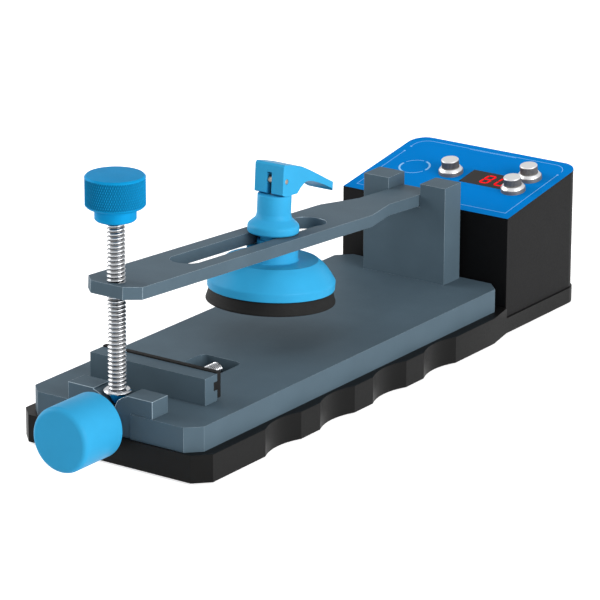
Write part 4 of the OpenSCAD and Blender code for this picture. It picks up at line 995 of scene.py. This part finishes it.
class SEPARATOR_OT_buttons(bpy.types.Operator):
    """Chrome collars and the three ribbed push-button caps"""
    bl_idname = "separator.buttons"
    bl_label = "Buttons"

    def execute(self, context):
        base = panel_frame()
        spots = {"left_button": (-5.9, 29.5), "front_button": (27.6, 24.8), "back_button": (27.6, 37.6)}
        ring = turned("ring", [
            (3.9, -2.8), (4.6, -2.8), (4.6, 0), (5.15, 0), (5.15, 1.6, 0.1), (5.0, 1.7), (3.9, 1.7)
        ], "satin", 64, closed=True)
        cone = turned("cone", [
            (3.78, 1.65), (4.98, 1.65), (4.9, 1.85, 0.1), (4.15, 2.8, 0.25), (3.78, 2.85)
        ], "chrome", 64, closed=True)
        ribs = sizes().rib_count
        places = on_panel(spots.values())
        set_out(ring, "satin", places)
        set_out(cone, "chrome", places)
        collars = merged("button_collars_plated", ring, cone)
        mount(placed(collars, base), "button_collars")
        for node, place in zip(spots, places):
            sides = turned("sides", [
                (0, -7.5), (1.6, -7.5), (1.6, -4.2), (4.1, -4.2), (4.1, -3.1), (3.68, -3.1), (3.68, 2.9),
                *rows(3.68, 3.0, 5.5, 0.5), (3.68, 5.7), (3.6, 5.85), (0, 5.85)
            ], "satin", ribs * 4)
            grooved(sides, "satin", ribs, 0.0, 0.0, sizes().rib_depth, 2.95, 5.55)
            face = turned("face", [
                (0, 5.84), (3.6, 5.84), (3.62, 5.95, 0.08), (3.45, 6.2, 0.12), (0, 6.2)
            ], "face", 64)
            cap = merged(node + "_cap", sides, face)
            mount(placed(cap, base @ Matrix.Translation(place)), node)
        return {"FINISHED"}


def cap_screw(name, thread, head, tall, key, grip):
    """Socket cap screw with its head's underside at zero, its key hole below and its thread above.
    Its thread, head and key are radii."""
    rim, point = 0.3, 0.4
    return turned(name, [
        (0, -tall / 2), (key, -tall / 2), (key, -tall), (head - rim, -tall), (head, -tall + rim),
        (head, 0), (thread, 0), (thread, grip - point), (thread - point, grip), (0, grip)
    ], "black_steel", 24, six=(1, 2))


class SEPARATOR_OT_screws(bpy.types.Operator):
    """All cap screws that hold the plate, block, yoke and case"""
    bl_idname = "separator.screws"
    bl_label = "Screws"

    def execute(self, context):
        small = (1.5, 2.75, 2.6, 1.3)
        groups = {
            "plate_screws": (2, 3.5, 3, 1.6), "yoke_screws": (2.5, 4.25, 5, 2.1),
            "block_screws": small, "case_screws": small,
        }
        for node, (thread, head, tall, key) in groups.items():
            low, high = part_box(node)
            grip = (high.z - low.z) / MM - tall
            screw = cap_screw(node + "_socket", thread, head, tall, key, grip)
            xs = sorted({low.x + head * MM, high.x - head * MM})
            ys = [low.y + head * MM, high.y - head * MM]
            if ys[1] - ys[0] < MM:
                ys = [(low.y + high.y) / 2]
            spots = [(x, y, low.z + tall * MM) for x in xs for y in ys]
            mount(set_out(screw, "black_steel", spots), node)
        return {"FINISHED"}


class SEPARATOR_OT_inner(bpy.types.Operator):
    """Finishes for the pieces inside, whose CAD shapes are right"""
    bl_idname = "separator.inner"
    bl_label = "Inner pieces"

    def execute(self, context):
        coats = {
            "heater_pad": "silicone", "insulation_sheet": "fibre", "temp_sensor": "steel",
            "display_module": "white", "switch_bodies": "moulding", "control_board": "board",
            "power_board": "board", "board_screws": "steel", "knob_grub_screw": "black_steel",
            "clamp_grub_screw": "black_steel", "clamp_clip": "black_steel",
        }
        for node, item in coats.items():
            mesh = frame["nodes"][node].data
            mesh.materials.clear()
            mesh.materials.append(finish(item))
        return {"FINISHED"}


def looked_at(tree):
    """One for rays that end in the camera straight or by way of metal or glass, zero for the rest."""
    rays = add(tree, "ShaderNodeLightPath").outputs
    mirrored = calc(tree, "MAXIMUM", rays["Is Glossy Ray"], rays["Is Transmission Ray"])
    return calc(tree, "MAXIMUM", rays["Is Camera Ray"], mirrored)


class SEPARATOR_OT_stage(bpy.types.Operator):
    """Pale floor, soft studio lamps and the camera at the photograph's angle"""
    bl_idname = "separator.stage"
    bl_label = "Stage"

    def execute(self, context):
        scene = context.scene
        half = sizes().floor / 2
        mesh = bpy.data.meshes.new("floor")
        corners = [(-half, -half, 0), (half, -half, 0), (half, half, 0), (-half, half, 0)]
        mesh.from_pydata(corners, [], [range(4)])
        floor = linked("studio_floor", mesh)
        paper = bpy.data.materials.new("matt_white_paper")
        paper.use_nodes = True
        tree = paper.node_tree
        tree.nodes.clear()
        diffuse = add(tree, "ShaderNodeBsdfDiffuse", {"Color": (*[PAPER_WHITE] * 3, 1)})
        glow = add(tree, "ShaderNodeEmission", {
            "Strength": calc(tree, "MULTIPLY", looked_at(tree), PAPER_GLOW)
        })
        both = add(tree, "ShaderNodeAddShader", {0: diffuse.outputs[0], 1: glow.outputs[0]})
        add(tree, "ShaderNodeOutputMaterial", {"Surface": both.outputs["Shader"]})
        mesh.materials.append(paper)

        world = bpy.data.worlds.new("soft_room")
        scene.world = world
        world.use_nodes = True
        tree = world.node_tree
        tree.nodes.clear()
        rest = calc(tree, "MULTIPLY", looked_at(tree), 1 - ROOM_LIGHT)
        strength = calc(tree, "ADD", ROOM_LIGHT, rest)
        air = add(tree, "ShaderNodeBackground", {"Color": (1, 1, 1, 1), "Strength": strength})
        add(tree, "ShaderNodeOutputWorld", {"Surface": air.outputs["Background"]})

        lamps = (
            ("key_right", (1.1, -0.2, 0.27), (0, 0, 0.04), 0.9, 20),
            ("fill_left", (-1.2, -0.4, 0.5), (0, -0.05, 0.03), 0.9, 14),
            ("top_soft", (0, -0.1, 1.3), (0, 0, 0.03), 1.0, 2),
        )
        for name, spot, aim, size, power in lamps:
            lamp = bpy.data.lights.new(name, "AREA")
            lamp.size, lamp.energy = size, power
            made = linked(name, lamp)
            made.location = spot
            made.rotation_euler = (Vector(aim) - Vector(spot)).to_track_quat("-Z", "Y").to_euler()

        azimuth, elevation, roll = (math.radians(a) for a in (35.00633, 18.28969, 0.21139))
        distance, shift_x, shift_y = 1501.13, -7.946, -8.602
        pixels_per_mm, picture, film = 2.550356, 600, 36
        target = Vector((0, -10.42, 25.8))
        turn = Matrix.Rotation(azimuth, 4, "Z") @ Matrix.Rotation(math.pi / 2 - elevation, 4, "X")
        turn @= Matrix.Rotation(roll, 4, "Z")
        spot = (target + turn @ Vector((-shift_x, -shift_y, distance))) * MM
        lens = bpy.data.cameras.new("camera")
        lens.sensor_width = film
        lens.lens = pixels_per_mm * distance / picture * film
        lens.clip_end = 20
        camera = linked("camera", lens)
        camera.matrix_world = Matrix.Translation(spot) @ turn
        scene.camera = camera
        scene.view_settings.view_transform = "Standard"
        return {"FINISHED"}


OPERATORS = (
    SEPARATOR_OT_tray, SEPARATOR_OT_plate, SEPARATOR_OT_arm, SEPARATOR_OT_jaw, SEPARATOR_OT_lift,
    SEPARATOR_OT_clamp, SEPARATOR_OT_cup, SEPARATOR_OT_lever, SEPARATOR_OT_case, SEPARATOR_OT_panel,
    SEPARATOR_OT_buttons, SEPARATOR_OT_screws, SEPARATOR_OT_inner, SEPARATOR_OT_stage,
)


class SEPARATOR_PT_panel(bpy.types.Panel):
    """Lists the pieces of the separator"""
    bl_idname = "SEPARATOR_PT_panel"
    bl_label = "Screen separator"
    bl_space_type = "VIEW_3D"
    bl_region_type = "UI"
    bl_category = "Separator"

    def draw(self, context):
        for group in (context.scene.separator_sizes, context.scene.separator_colours):
            box = self.layout.box()
            for key in group.bl_rna.properties.keys():
                if key not in ("rna_type", "name"):
                    box.prop(group, key)
        for step in OPERATORS:
            self.layout.operator(step.bl_idname)


CLASSES = (SeparatorSizes, SeparatorColours, *OPERATORS, SEPARATOR_PT_panel)


def register():
    for item in CLASSES:
        bpy.utils.register_class(item)
    bpy.types.Scene.separator_sizes = PointerProperty(type=SeparatorSizes)
    bpy.types.Scene.separator_colours = PointerProperty(type=SeparatorColours)


def unregister():
    del bpy.types.Scene.separator_colours
    del bpy.types.Scene.separator_sizes
    for item in reversed(CLASSES):
        bpy.utils.unregister_class(item)


def main():
    register()
    for step in OPERATORS:
        group, call = step.bl_idname.split(".")
        getattr(getattr(bpy.ops, group), call)()


if __name__ == "__main__":
    main()
